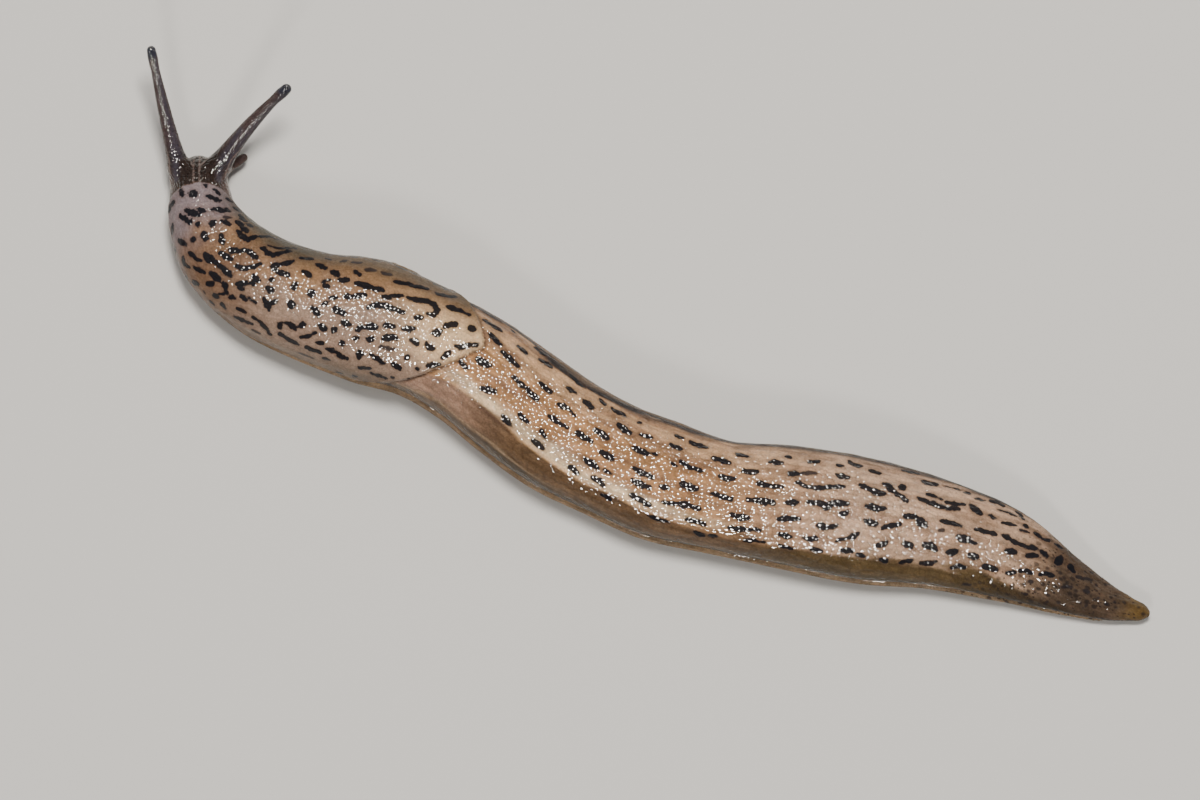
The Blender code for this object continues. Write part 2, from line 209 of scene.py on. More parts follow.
# The grain is this much finer on the head, up to a distance from the snout, and on the tentacles
FINE_GRAIN = 1.5
FINE_END = 9.5
FINE_BLEND = 2.5

# Steps between the tentacles' own layers of the grain
FEELER_LAYER = 40.0

# Heights of the skin's grain under the wet coat, and of the coat's own
BASE_BUMP = 0.16
COAT_BUMP = 0.2

# The UV layout, in mm: length and height of the body's strips, where the snout goes and how deep it is,
# and where the first tentacle goes
STRIP_LENGTH = 75.0
STRIP_HEIGHT = 42.0
SNOUT_SPOT = (86.0, 6.0)
SNOUT_DEPTH = 1.2
FEELER_SPOT = (80.0, 18.0)

# Studio lights: towards the camera, plus parts to its top and right, then size, power and colour
LIGHT_DISTANCE = 0.8
SOFT_LIGHTS = (
    ("key", 0.42, 0.05, 0.22, 7.8, (1.0, 0.97, 0.92)),
    ("low", -0.8, -0.15, 0.14, 2.0, (1.0, 0.98, 0.95)),
)
GLINT_LIGHTS = (
    ("glint_high", 0.45, -0.1, 0.15, 12.5, (1.0, 0.95, 0.84)),
    ("glint_low", -0.85, -0.25, 0.16, 16.0, (1.0, 0.96, 0.88)),
)
SKY_COLOUR = (0.97, 0.98, 1.0, 1.0)
SKY_LOW = 0.08
SKY_HIGH = 0.28
FLOOR_REACH = 3.0
FLOOR_COLOUR = (0.64, 0.62, 0.59, 1.0)

# Strokes of the markings, read off the photo: width, then the stroke's pixels, x and y in turn
MANTLE_SPOTS = (
    (4, 205.5, 187), (9, 193.7, 194.7), (3.5, 181.5, 192, 184, 196), (3, 213.5, 191, 218, 195.5),
    (3.5, 207, 197, 219, 202), (2.5, 225, 200, 229.5, 203), (3.5, 175.5, 202, 174, 206),
    (3.5, 172.5, 206, 171.5, 212), (5, 188, 211, 199, 216.5), (4, 199, 210.5, 205, 212.5),
    (5, 214, 210.5, 223, 212), (2.5, 224, 209.5, 229, 213), (4, 182, 216, 191.5, 224), (6.4, 198.5, 225.5),
    (7.6, 213, 225), (4, 222.5, 222.5, 228.5, 225.5), (4.5, 175, 225.5, 174.5, 232.5),
    (5, 238, 233, 242.5, 238, 248, 241, 254, 239), (2.5, 254, 238.5, 268, 238.5, 278, 242),
    (6, 204, 235, 206.5, 239.5), (7, 222, 237), (5, 221, 239, 223.5, 244), (4, 181, 240, 187.5, 245),
    (7, 194.3, 240), (3.5, 175, 246.5, 178, 249.5), (3, 190.5, 253.5, 197, 256),
    (2.5, 196, 258, 201.5, 260.5), (5.5, 185, 258.5, 186.5, 263), (2, 186.5, 263, 192, 267),
    (6, 206, 256, 213, 261), (4, 213, 261, 220, 266, 225, 270), (5, 225, 270, 231, 275.5),
    (4.5, 221, 253.5, 232, 260), (5, 231, 250.5, 239, 252.5), (3.5, 239, 252.5, 247, 251.5),
    (5, 247, 251.5, 256.5, 258.5), (4, 237, 267.5, 245, 269, 254, 267.5, 260, 264.5),
    (4, 262.5, 249.5, 267, 254, 273, 257, 280, 255, 290, 253), (2, 268, 247.5, 277, 250, 296, 251),
    (4.5, 272, 267, 281, 266), (4, 281, 266, 293, 263), (4.5, 274, 270, 281, 274, 289, 276.5),
    (3, 270.5, 280, 274.5, 281.5), (5.5, 254, 277, 259, 281), (3, 251, 283, 256, 285),
    (4.5, 237.5, 284, 247, 283), (3, 239, 287, 244, 290), (5, 268, 288, 273.5, 291.5), (9, 294.5, 287),
    (5, 212, 273.5, 221, 279.5), (3.5, 196, 267.5, 205.5, 272), (3, 188, 273.5, 189.5, 276.5),
    (4, 195, 281.5, 199.5, 282.5), (4.5, 209, 283, 214, 284), (4.5, 224.5, 282.5, 227, 286.5),
    (5, 215, 294.5, 220, 296), (2.5, 220, 293.5, 226, 292.5), (1.5, 226, 290, 229, 294),
    (3, 231, 297, 237, 297.5), (4, 242.5, 295.5, 247, 299.5), (2.5, 250, 298, 257, 302),
    (4, 264.5, 299, 266.5, 304, 270, 308), (4, 270, 308, 272, 303, 278, 301), (9.4, 292, 304.5),
    (9.4, 311.5, 294), (4.5, 304.5, 272.5, 311, 278), (3.5, 301, 260, 312, 261),
    (4, 317, 266.5, 321, 268, 326, 270.5), (6, 333, 273.5, 338, 276), (5, 340, 281.5, 348, 281),
    (3, 323.5, 287, 324, 282, 329, 281.5), (3, 324, 286.5, 329, 287.5), (2, 326, 261, 331, 262),
    (3, 331, 298, 337.5, 298), (3, 323, 304.5, 329, 302.5), (4.5, 312.5, 308, 319.5, 315),
    (5, 334.5, 308, 340, 313), (4.5, 340, 313, 346, 314), (7.4, 281, 324.5), (5, 290.5, 324, 296, 327),
    (8, 303, 324.5), (1.5, 283, 321.5, 291, 322), (4.5, 319.5, 325.5, 326, 328.5), (7, 334.5, 329),
    (3, 301.5, 335.5, 309, 335, 316.5, 332), (4, 281, 332.5, 288, 337, 299, 343), (3, 318, 341, 323, 342),
    (4, 308, 346, 321, 350.5), (4, 327, 347, 338, 351.5), (3.5, 324.5, 356.5, 330, 358),
    (3.5, 354.5, 273, 359.5, 276.5), (6, 357, 284.5, 363, 286, 372, 289), (5, 372, 289, 382, 291.5),
    (5, 345.5, 297, 352, 297.5), (4, 352, 297.5, 365, 295.5), (4, 395, 283, 412, 287, 426, 291),
    (3.5, 382, 297.5, 390, 299), (3.5, 391, 297, 401, 296.5),
    (5, 408, 299, 418, 301.5, 428, 303, 433, 306, 436.5, 311, 434, 316, 428.5, 315),
    (5, 368, 308, 371, 306.5, 378, 305.5, 386, 307, 395, 310.5, 403, 312.5), (4.5, 416, 318, 421, 318.5),
    (5, 343, 322.5, 350, 324.5), (4.5, 358, 329, 362, 326.5), (6, 367.5, 327, 376, 327.5),
    (4.5, 384.5, 325.5, 394, 327), (5, 403, 329, 414, 329.5), (3.5, 355, 338.5, 358.5, 337.5),
    (5, 368.5, 339, 372, 338.5), (6, 384.5, 338, 395, 337.5), (6.8, 342.7, 342.5),
    (5.5, 361.5, 351.5, 359, 356), (3, 371, 354, 376, 356.5), (4, 375, 356, 384, 362),
    (4, 338.5, 353.5, 347.5, 357), (3, 360, 366, 370, 366.5), (4.5, 393.5, 363, 400.5, 367),
    (6, 408, 356.5), (5, 412, 340, 417.5, 343), (5, 426.5, 345, 433, 349), (5, 418, 368.3),
    (4.6, 393.5, 375.5), (3, 409, 378), (3.5, 372, 371, 386, 376), (4, 435, 295, 445, 298, 455, 299),
    (5, 448, 308.5, 460, 312.5), (3, 460, 312.5, 468, 316), (5.5, 445, 327, 455, 325),
    (6.5, 434, 333, 439, 333.5), (6, 469, 329.5, 473.5, 331),
    (4, 456, 346, 461, 348.5, 468, 346.5, 476, 345.5), (4, 442.5, 358, 451, 351.5),
    (3.5, 428, 365, 440, 364), (4.5, 233, 210, 238, 213), (5, 238.5, 217.5, 244, 223),
    (4, 236, 224, 242, 226.5), (5, 242, 229, 246.5, 233), (3.5, 246, 226, 251, 229),
    (3, 254, 316, 260, 320, 267, 325), (3.5, 239, 307.5, 247, 311.5), (4, 223.5, 302, 226.5, 307),
    (3, 236, 315.5, 245, 319, 253, 322.5), (3, 262, 323, 267, 327, 271.5, 333),
    (3, 212, 299.5, 215.5, 302.5), (2.5, 202, 293, 204, 297),
)
TRUNK_DASHES = (
    (4, 484, 320, 501, 331), (4.5, 490.5, 334, 500, 344.5), (2, 511.5, 330, 515, 333),
    (4, 518.5, 346, 526.5, 353.5), (3.5, 535, 347.5, 544, 355), (4.5, 501.5, 351.5, 518, 366),
    (4, 540, 359.5, 551, 366.5), (6.5, 478, 359.5, 488.5, 366), (4, 459.5, 361.5, 467.5, 368),
    (4.5, 513.5, 377, 525.5, 388.5), (5, 526, 389, 537.5, 399.5), (4.5, 540, 383, 550.5, 392.5),
    (3.5, 571, 375.5, 580, 384.5), (2, 580, 384.5, 585, 388), (4, 567, 387.5, 576, 393),
    (5.5, 482, 388.5, 494.5, 391.5), (6, 584.5, 401, 591.5, 407), (5, 560, 404.5, 568, 409),
    (2.5, 568, 409, 575, 415.5), (4.5, 549.5, 416, 558, 423), (3, 558, 423, 567, 428),
    (5, 503, 416, 510, 424.5), (4.5, 519.5, 414, 526.5, 421.5), (4.5, 541, 430, 544.5, 436.5),
    (5.5, 534, 441, 542, 448.5), (5, 577, 432.5, 591, 442), (3.5, 600.5, 399.5, 605.5, 404.5),
    (4, 611.5, 408.5, 626, 416), (5, 618, 424.5, 629.5, 433.5), (2.5, 638, 422, 641, 423),
    (3.5, 640.5, 434.5, 651, 438), (5, 596, 429.5, 608.5, 438.5), (5.5, 601.5, 452, 612.5, 459),
    (5, 633, 447.5, 640, 451, 648, 453.5), (3, 652.5, 453, 657.5, 455), (4.5, 671, 445, 681.5, 449),
    (3.5, 676, 435.5, 682, 438), (5.5, 585.5, 459, 596.5, 467), (5.5, 570.5, 467, 577, 472.5),
    (2.5, 604, 469.5, 611.5, 474), (5, 593.5, 477.5, 603.5, 484.5), (5, 634, 468.5, 643, 473, 652.5, 477),
    (5, 633, 480.5, 640, 483.5, 649, 488), (4.5, 661, 486, 668, 488.5),
    (5, 630.5, 494.5, 640, 499.5, 649, 505), (3.5, 602, 495, 609.5, 499), (2, 671.5, 463, 677, 466.5),
    (5, 691, 442, 697, 445, 706, 447.5), (5, 681, 462, 690, 467), (4, 690, 467, 702, 471.5),
    (6, 682, 484, 690, 487, 696, 488.8), (3, 662, 502, 680, 504.5), (6, 680, 504, 688, 505),
    (4.5, 688, 505, 700, 509.5), (5, 687, 519, 695, 521.5, 704, 524.5),
    (3, 648, 515.5, 658, 519.5, 669, 522), (4, 695, 532.5, 703, 535.5), (5, 713, 458, 721, 460, 729, 463),
    (5, 720, 476, 727, 478.5, 734, 478.5), (4, 736, 453.5, 742, 455.5, 748, 456.5),
    (5.5, 744, 471, 751, 472.5, 757.5, 471.5), (5, 758.5, 483.5, 765, 485, 771, 486),
    (4, 771, 486, 781.5, 487), (5, 771, 461.5, 780.5, 463), (3.5, 785.5, 456.5, 791, 457.5),
    (4, 808.5, 462, 818.5, 462), (5, 790, 473.5, 797.5, 474),
    (4, 797, 482.5, 805, 486, 817, 488, 830, 487, 843, 486.5), (5, 712, 493.5, 720, 496, 730.5, 499),
    (5, 748, 499.5, 757, 500, 766, 502, 774, 503), (5, 787, 503, 797.5, 502.5), (4, 808, 501, 818, 502.5),
    (7, 818, 502.5, 826, 506, 832, 503.5), (6, 832, 503.5, 840, 503.5, 846, 503.5),
    (5.5, 732, 515, 739, 517, 748, 518), (5, 779, 519, 788, 518.5, 798, 518.5), (5.5, 819, 525, 827, 528),
    (4, 827, 528, 838, 525.5), (4, 730, 527.5, 740, 529.5, 751, 530), (3, 754, 529.5, 760.5, 530.5),
    (4.5, 780, 534, 786, 536.5, 791, 537), (5, 804.5, 538, 810, 539.5, 815.5, 538.5),
    (4, 709.5, 536, 716.5, 536), (3.5, 745, 540.5, 755, 541, 764, 542.5), (3.5, 779.5, 545.5, 792, 548.5),
    (4.5, 812.5, 549, 820.5, 551), (3.5, 838, 465, 843, 466), (5, 849.5, 461.5, 855, 464.5, 861, 466),
    (4, 869.5, 470.5, 880, 473.5), (4.5, 837, 475, 848, 477.5), (4, 860.5, 485, 869, 489),
    (6, 869, 489, 876, 492.5, 884, 493.5), (4, 883, 484, 891, 486), (6, 888, 487, 893, 491.5),
    (4, 893, 491.5, 899, 495, 907, 500.5), (9, 902, 487.5), (5.5, 924, 481.5, 930, 484, 936, 484.5),
    (3, 926, 494, 935, 496.5, 942, 499), (4, 947.5, 502, 955, 504, 963, 504),
    (4, 918.5, 497.5, 926, 501.5, 934, 504, 942, 507, 952, 508, 959, 509),
    (6, 971, 505, 975, 509, 980, 513), (2.5, 964, 492, 970, 493.5), (5.5, 867, 506, 876, 508, 885, 508),
    (5, 841, 515, 847, 512), (5.5, 866, 520.5, 871, 523, 876, 524),
    (4.5, 883.5, 528, 890, 526, 899.5, 523.5), (5, 904, 516, 914, 516, 919, 519),
    (8.5, 919.5, 520.5, 923.5, 524.5), (4.5, 942, 521.5, 951, 523, 961, 526),
    (7, 959, 537, 964, 539, 968, 540.5), (3, 968, 541, 976, 543), (2.5, 837, 541, 848, 537.5),
    (6, 850, 537.5, 855, 536.5), (3, 855, 536.5, 859, 533), (5, 878, 545, 885, 545),
    (3, 885, 545, 887, 542), (5, 904, 544, 912, 545.5), (7, 925, 545, 931, 546, 935, 549),
    (6, 948, 553, 956, 551.5), (5, 970, 555.5, 977, 557), (5, 843, 550, 852, 551.5),
    (4, 857.5, 554.5, 865, 556.5), (5, 881, 559, 886, 561), (4, 901, 562.5, 907, 561, 912, 560),
    (4, 921, 563.5, 928, 563, 935, 562.5), (4, 952, 568, 958, 565.5, 965, 566.5), (3, 989, 515, 996, 518.5),
    (3, 1003, 522.5, 1010, 524, 1015, 525.5), (5, 991, 501.5, 997, 502, 1002.5, 505.5),
    (3.5, 1016, 511.5, 1020, 514.5, 1023, 518.5), (3.5, 1023.5, 525, 1028, 527.5),
    (2, 1020, 530, 1029, 532.5), (3.5, 1034.5, 533, 1041, 537.5), (2.5, 1042, 539, 1049, 540.5),
    (2.5, 1055, 544, 1062, 548.5), (4.5, 976, 529, 982, 531, 990, 532.5), (4, 990, 532.5, 996, 534.5),
    (5, 1004, 536.5, 1010, 539), (5, 1012, 541, 1018, 543.5), (3.5, 1018, 543.5, 1027, 547),
    (5, 1027, 547, 1036, 548), (5.5, 1007, 551, 1015, 552), (5, 1027, 555.5, 1037, 555.5),
    (5, 1042, 552, 1046.5, 555.5), (7, 1057, 563, 1061, 558.5), (5.5, 1070, 566, 1073, 571),
    (5.5, 984, 566, 990, 568, 996, 569.5), (4, 1006.5, 573, 1014.5, 572.5),
    (4.5, 1021, 570.5, 1026, 571, 1032, 573.5), (4.5, 1041, 574.5, 1047, 573, 1052.5, 576),
)
FAINT_MARKS = (
    (3.5, 224.5, 218.5, 230, 219.5), (3, 206, 290.5), (2.5, 254, 328, 261, 331.5), (3, 300, 351, 314, 356),
    (3, 341, 264, 347, 262.5), (3, 352, 264.5, 361, 265), (4, 366, 271.5, 375, 272.5),
    (4, 382, 275, 390, 276.5), (3, 381, 346, 397, 349.5), (3.5, 802, 473, 816, 473),
    (3, 940, 530.5, 944, 530), (3, 964, 584, 970, 585), (4, 1024, 584), (3.5, 1035, 592),
    (2.5, 1022, 593.5, 1026, 594.5), (3, 1028, 582, 1032, 581.5), (3, 1062, 587, 1071, 587),
    (3, 1077, 576.5, 1081, 577.5), (3, 1083, 578, 1092, 580), (3, 1084, 590.5, 1089, 592), (2.5, 1098, 598),
    (3, 1115, 602), (2.5, 1106, 604), (2.5, 1086, 605.5), (2.5, 1047, 602), (2.5, 1080, 603),
    (3, 1096, 585),
)
HEAD_LINES = (
    (1.2, 193.4, 184, 193.4, 167), (1.2, 199.1, 184, 199.3, 167), (1.1, 193.4, 167, 195, 152),
    (1.1, 199.3, 167, 200, 152), (1.1, 193.5, 167, 188, 157, 184.5, 148, 180, 135, 176, 120),
    (1.1, 199.5, 166.5, 209, 157, 216, 150), (1.4, 241.8, 148, 231, 160, 226.5, 171, 225, 180),
    (1.4, 167, 150, 169, 160, 170, 175),
)
HEAD_CORES = (
    (5.0, 172, 145, 175, 160, 176, 180), (5.5, 240, 130, 222, 160, 219, 180),
)


def ease(value, low, high):
    """0 below low, 1 above high, and a soft step between them."""
    t = np.clip((value - low) / (high - low), 0.0, 1.0)
    return t * t * (3 - 2 * t)


def fade(value, low, high):
    """1 below low, and 0 above high."""
    return 1 - ease(value, low, high)


def bell(value, middle, width):
    """1 in the middle, falling off softly to both sides."""
    return np.exp(-((value - middle) / width) ** 2)


def unit(vector):
    return vector / np.linalg.norm(vector)


def smooth(at, values):
    """Values at distances along the body, on a soft curve through the stations."""
    slopes = np.gradient(values, ALONG)
    at = np.clip(at, 0.0, LENGTH)
    i = np.clip(np.searchsorted(ALONG, at, side="right") - 1, 0, len(ALONG) - 2)
    span = ALONG[i + 1] - ALONG[i]
    t = (at - ALONG[i]) / span
    start = (1 + 2 * t) * (1 - t) ** 2 * values[i] + t * (1 - t) ** 2 * span * slopes[i]
    end = t * t * (3 - 2 * t) * values[i + 1] - t * t * (1 - t) * span * slopes[i + 1]
    return start + end


def centre(along):
    return np.stack([smooth(along, STATION_X), smooth(along, STATION_Y)], -1)


def backward(along):
    step = 0.4
    way = centre(along + step) - centre(along - step)
    return way / np.linalg.norm(way, axis=-1, keepdims=True)


def rightward(along):
    back = backward(along)
    return np.stack([-back[..., 1], back[..., 0]], -1)


def closing(along):
    """Rounds the snout and the tip of the tail: 1 along the body and 0 at its very ends."""
    reach = np.minimum(np.minimum(along / SNOUT_ROUNDING, (LENGTH - along) / TAIL_ROUNDING), 1.0)
    return np.sqrt(np.maximum(1 - (1 - reach) ** 2, 0.0))


def foot_thickness(along):
    nose = ease(along, FOOT_START, FOOT_START + FOOT_NOSE)
    heel = fade(along, FOOT_END - FOOT_THINNING, FOOT_END)
    return FOOT_EDGE_THICKNESS + (FOOT_THICKNESS - FOOT_EDGE_THICKNESS) * nose * heel


def arch(along, girth):
    """Across and up on the section there, for a girth from 0, mid-back, to 1, low on the flank."""
    half = smooth(along, STATION_HALF)
    top = smooth(along, STATION_HEIGHT)
    low = foot_thickness(along) + FOOT_OVERLAP
    waist = low + (top - low) * WIDEST_AT
    roundness = ROUNDNESS - TAIL_SHARPENING * ease(along, *SHARPENING)
    undercut = np.radians(SNOUT_UNDERCUT - UNDERCUT_LOSS * ease(along, *SNOUT_LENGTH))
    angle = math.pi / 2 - girth * (math.pi / 2 + undercut)
    across = half * np.abs(np.cos(angle)) ** (2 / roundness)
    upper = waist + (top - waist) * np.maximum(np.sin(angle), 0.0) ** (2 / roundness)
    lower = waist - (waist - low) * np.sin(-angle) / np.sin(undercut)
    up = np.where(angle >= 0, upper, lower)
    up = up + KEEL_HEIGHT * ease(along, *KEEL_START) * bell(across, 0.0, 1.0)
    middle = (top + low) / 2
    scale = closing(along)
    return across * scale, middle + (up - middle) * scale


def foot_side(along):
    """Across and up of the foot's edge, from its upper rim down to the sole."""
    thick = foot_thickness(along) / FOOT_THICKNESS
    nose = np.clip((along - FOOT_START) / FOOT_NOSE, 0.0, 1.0)
    heel = np.clip((FOOT_END - along) / FOOT_HEEL, 0.0, 1.0)
    plan = np.sqrt(1 - (1 - nose) ** 2) * np.sqrt(1 - (1 - heel) ** 2)
    half = (smooth(along, STATION_HALF) + FOOT_FRINGE) * plan
    fringe = np.minimum(FRINGE_WIDTH, half / 2)
    across = np.stack([half - fringe * part for part in FRINGE_INWARD], -1)
    up = np.stack([thick * part for part in FRINGE_UPWARD], -1)
    return across, up


def half_outline(along):
    """Right half of each section, from mid-back down the flank and round the foot to the sole's middle."""
    across, up = arch(along[:, None], GIRTHS[None, :])
    foot_across, foot_up = foot_side(along)
    bare = (along < FOOT_START + 0.05) | (along > FOOT_END - 0.05)
    foot_across[bare] = 0.0
    foot_up[bare] = up[bare, -1:]
    sole = np.zeros((len(along), 1))
    floor = np.where(bare, up[:, -1], 0.0)[:, None]
    return np.concatenate([across, foot_across, sole], 1), np.concatenate([up, foot_up, floor], 1)


def arc_lengths(across, up):
    """Distance around each section from mid-back, with the sole's width squeezed."""
    run = np.hypot(np.diff(across, axis=1), np.diff(up, axis=1))
    run[:, -1] *= SOLE_SCALE
    return np.concatenate([np.zeros((len(run), 1)), np.cumsum(run, axis=1)], 1)


TABLE_ALONG = np.arange(0.0, LENGTH, TABLE_STEP)
TABLE_ACROSS, TABLE_UP = half_outline(TABLE_ALONG)
TABLE_CENTRE = centre(TABLE_ALONG)
TABLE_BACK = backward(TABLE_ALONG)
TABLE_RIGHT = rightward(TABLE_ALONG)
TABLE_ARC = arc_lengths(TABLE_ACROSS, TABLE_UP)


def table_row(along):
    """Number of the section nearest to a distance along."""
    return np.clip(np.round(along / TABLE_STEP).astype(int), 0, len(TABLE_ALONG) - 1)


def point_tree(spots):
    tree = KDTree(len(spots))
    for i, spot in enumerate(spots):
        tree.insert(spot, i)
    tree.balance()
    return tree


def place_on_skin(points):
    """Distance along and around for points near the body's surface."""
    tree = point_tree([(x, y, 0.0) for x, y in TABLE_CENTRE])
    row = np.array([tree.find((x, y, 0.0))[1] for x, y in points[:, :2]])
    offset = points[:, :2] - TABLE_CENTRE[row]
    along = TABLE_ALONG[row] + (offset * TABLE_BACK[row]).sum(1)
    side = (offset * TABLE_RIGHT[row]).sum(1)
    across, up = np.abs(side), points[:, 2]
    best = np.full(len(points), np.inf)
    around = np.zeros(len(points))
    for i in range(TABLE_ACROSS.shape[1] - 1):
        x, y = TABLE_ACROSS[row, i], TABLE_UP[row, i]
        run, rise = TABLE_ACROSS[row, i + 1] - x, TABLE_UP[row, i + 1] - y
        t = ((across - x) * run + (up - y) * rise) / np.maximum(run ** 2 + rise ** 2, 1e-9)
        t = np.clip(t, 0.0, 1.0)
        far = np.hypot(across - x - run * t, up - y - rise * t)
        closer = far < best
        best[closer] = far[closer]
        arc = TABLE_ARC[row, i] + (TABLE_ARC[row, i + 1] - TABLE_ARC[row, i]) * t
        around[closer] = arc[closer]
    return along, np.copysign(around, side)


def skin_point(along, around):
    """World point on the body's surface at a distance along and around."""
    row = table_row(along)
    across = np.interp(abs(around), TABLE_ARC[row], TABLE_ACROSS[row])
    up = np.interp(abs(around), TABLE_ARC[row], TABLE_UP[row])
    flat = TABLE_CENTRE[row] + TABLE_RIGHT[row] * math.copysign(across, around)
    return np.array((flat[0], flat[1], up))


def flank_arc(along):
    """Distance around from mid-back to the upper rim of the foot."""
    return np.interp(along, TABLE_ALONG, TABLE_ARC[:, len(GIRTHS)])


class Shell:
    """Vertices and faces of closed shells that are fused into one skin."""

    def __init__(self):
        self.points = []
        self.faces = []

    def loft(self, rings):
        start = len(self.points)
        size = len(rings[0])
        for ring in rings:
            self.points.extend(tuple(point) for point in ring)
        for row in range(len(rings) - 1):
            for i in range(size):
                j = (i + 1) % size
                a, b = start + row * size, start + (row + 1) * size
                self.faces.append((a + i, a + j, b + j, b + i))
        self.faces.append(tuple(start + i for i in reversed(range(size))))
        last = start + (len(rings) - 1) * size
        self.faces.append(tuple(last + i for i in range(size)))


def world_ring(along, across, up, shared):
    """A section in the world: its right half, and its mirror image without the points they share."""
    across = np.concatenate([across, -across[shared:][::-1]])
    up = np.concatenate([up, up[shared:][::-1]])
    mid, right = centre(along), rightward(along)
    return [(mid[0] + right[0] * a, mid[1] + right[1] * a, u) for a, u in zip(across, up)]


def rounding(reach, *degrees):
    """Distances from an end at which the rings that round it off lie."""
    return reach * (1 - np.cos(np.radians(degrees)))


def body_rings():
    snout = rounding(SNOUT_ROUNDING, 8, 20, 32, 44, 56, 68, 80)
    tail = LENGTH - rounding(TAIL_ROUNDING, 80, 60, 40, 24, 10)
    rings = []
    for along in np.concatenate([snout, np.arange(2.5, LENGTH - TAIL_ROUNDING, RING_STEP), tail]):
        across, up = arch(along, GIRTHS)
        foot = ease(along, FOOT_START + 0.5, FOOT_START + 2.5) * fade(along, FOOT_END - 2.5, FOOT_END)
        across = np.append(across, across[-1] * 0.98)
        up = np.append(up, up[-1] - FLANK_DEPTH * foot)
        rings.append(world_ring(along, across, up, 1))
    return rings


def foot_rings():
    nose = FOOT_START + rounding(FOOT_NOSE, 12, 26, 40, 54, 68, 80)
    heel = FOOT_END - rounding(FOOT_HEEL, 80, 68, 54, 40, 26, 12)
    places = np.concatenate([nose, np.arange(8.5, FOOT_END - FOOT_HEEL, RING_STEP), heel])
    return [world_ring(along, *foot_side(along), 0) for along in places]


def feeler_middle(shape, part):
    """Points on a tentacle's bowed axis, at fractions of the way along it."""
    root, tip = np.array(shape["root"]), np.array(shape["tip"])
    part = np.asarray(part)[..., None]
    bow = np.where(part > 0, shape["bow"] * 4 * part * (1 - part), 0.0)
    return root + part * (tip - root) - unit(np.cross(tip - root, UPWARD)) * bow


def feeler_radius(shape, part):
    return np.interp(part, np.linspace(0.0, 1.0, len(shape["radii"])), shape["radii"]) * shape["stoutness"]


def feeler_length(shape):
    return np.linalg.norm(np.subtract(shape["tip"], shape["root"]))


def ring_turns():
    """Cosine and sine of the turns round a ring."""
    turns = np.linspace(0, 2 * math.pi, RING_SIZE + 1)[:-1, None]
    return np.cos(turns), np.sin(turns)


def feeler_rings(shape):
    length = feeler_length(shape)
    cap = feeler_radius(shape, 1.0)
    parts = [(part, 1.0) for part in np.linspace(-ROOT_DEPTH / length, 1 - cap / length, 40)]
    for turn in np.radians((15, 30, 45, 60, 72, 82)):
        parts.append((1 - cap * (1 - math.sin(turn)) / length, math.cos(turn)))
    cosine, sine = ring_turns()
    rings = []
    for part, scale in parts:
        ahead = unit(feeler_middle(shape, part + 0.01) - feeler_middle(shape, part - 0.01))
        side = unit(np.cross(ahead, UPWARD))
        up = np.cross(side, ahead)
        radius = feeler_radius(shape, part) * scale
        rings.append(feeler_middle(shape, part) + (side * cosine + up * sine) * radius)
    return rings


def lip_rings(sign):
    right, ahead = rightward(0.4), -backward(0.4)
    flat = centre(LIP_PLACE) + right * sign * LIP_SIDE + ahead * LIP_AHEAD
    middle = np.append(flat, LIP_RISE)
    long, wide, high = LIP_HALF
    cosine, sine = ring_turns()
    rings = []
    for turn in np.radians(np.linspace(-80, 80, 13)):
        forward = np.append(ahead * long * math.sin(turn), 0.0)
        sideways = np.append(right * wide, 0.0) * cosine + np.array((0.0, 0.0, high)) * sine
        rings.append(middle + forward + sideways * math.cos(turn))
    return rings


def add_object(name, data):
    made = bpy.data.objects.new(name, data)
    bpy.context.scene.collection.objects.link(made)
    return made


def fused_mesh():
    """One closed mesh through all the shells, in metres."""
    shell = Shell()
    shell.loft(body_rings())
    shell.loft(foot_rings())
    for shape in OPTIC + ORAL:
        shell.loft(feeler_rings(shape))
    for sign in (-1, 1):
        shell.loft(lip_rings(sign))
    raw = bpy.data.meshes.new("shells")
    raw.from_pydata([(x * MM, y * MM, z * MM) for x, y, z in shell.points], [], shell.faces)
    shape = bmesh.new()
    shape.from_mesh(raw)
    bmesh.ops.recalc_face_normals(shape, faces=shape.faces)
    shape.to_mesh(raw)
    shape.free()
    holder = add_object("shells", raw)
    remesh = holder.modifiers.new("fuse", "REMESH")
    remesh.mode = "VOXEL"
    remesh.voxel_size = VOXEL * MM
    remesh.adaptivity = 0.0
    evaluated = holder.evaluated_get(bpy.context.evaluated_depsgraph_get())
    mesh = bpy.data.meshes.new_from_object(evaluated)
    bpy.data.objects.remove(holder)
    bpy.data.meshes.remove(raw)
    mesh.name = "skin"
    return mesh


def read(items, name, width, kind=np.float32):
    """One property of a mesh's vertices, edges, corners or faces, a row for each."""
    flat = np.empty(len(items) * width, kind)
    items.foreach_get(name, flat)
    return flat.reshape(-1, width)


def write_points(mesh, points):
    mesh.vertices.foreach_set("co", (points * MM).astype(np.float32).ravel())
    mesh.update()


def relax(points, edges, weight, turns, pulls):
    """Laplacian smoothing. A second, negative pull keeps the volume."""
    count = np.bincount(edges.ravel(), minlength=len(points)).astype(float)[:, None]
    for _ in range(turns):
        for pull in pulls:
            total = np.zeros_like(points)
            for axis in range(3):
                total[:, axis] = np.bincount(edges[:, 0], points[edges[:, 1], axis], len(points))
                total[:, axis] += np.bincount(edges[:, 1], points[edges[:, 0], axis], len(points))
            points = points + (total / count - points) * pull * weight[:, None]
    return points


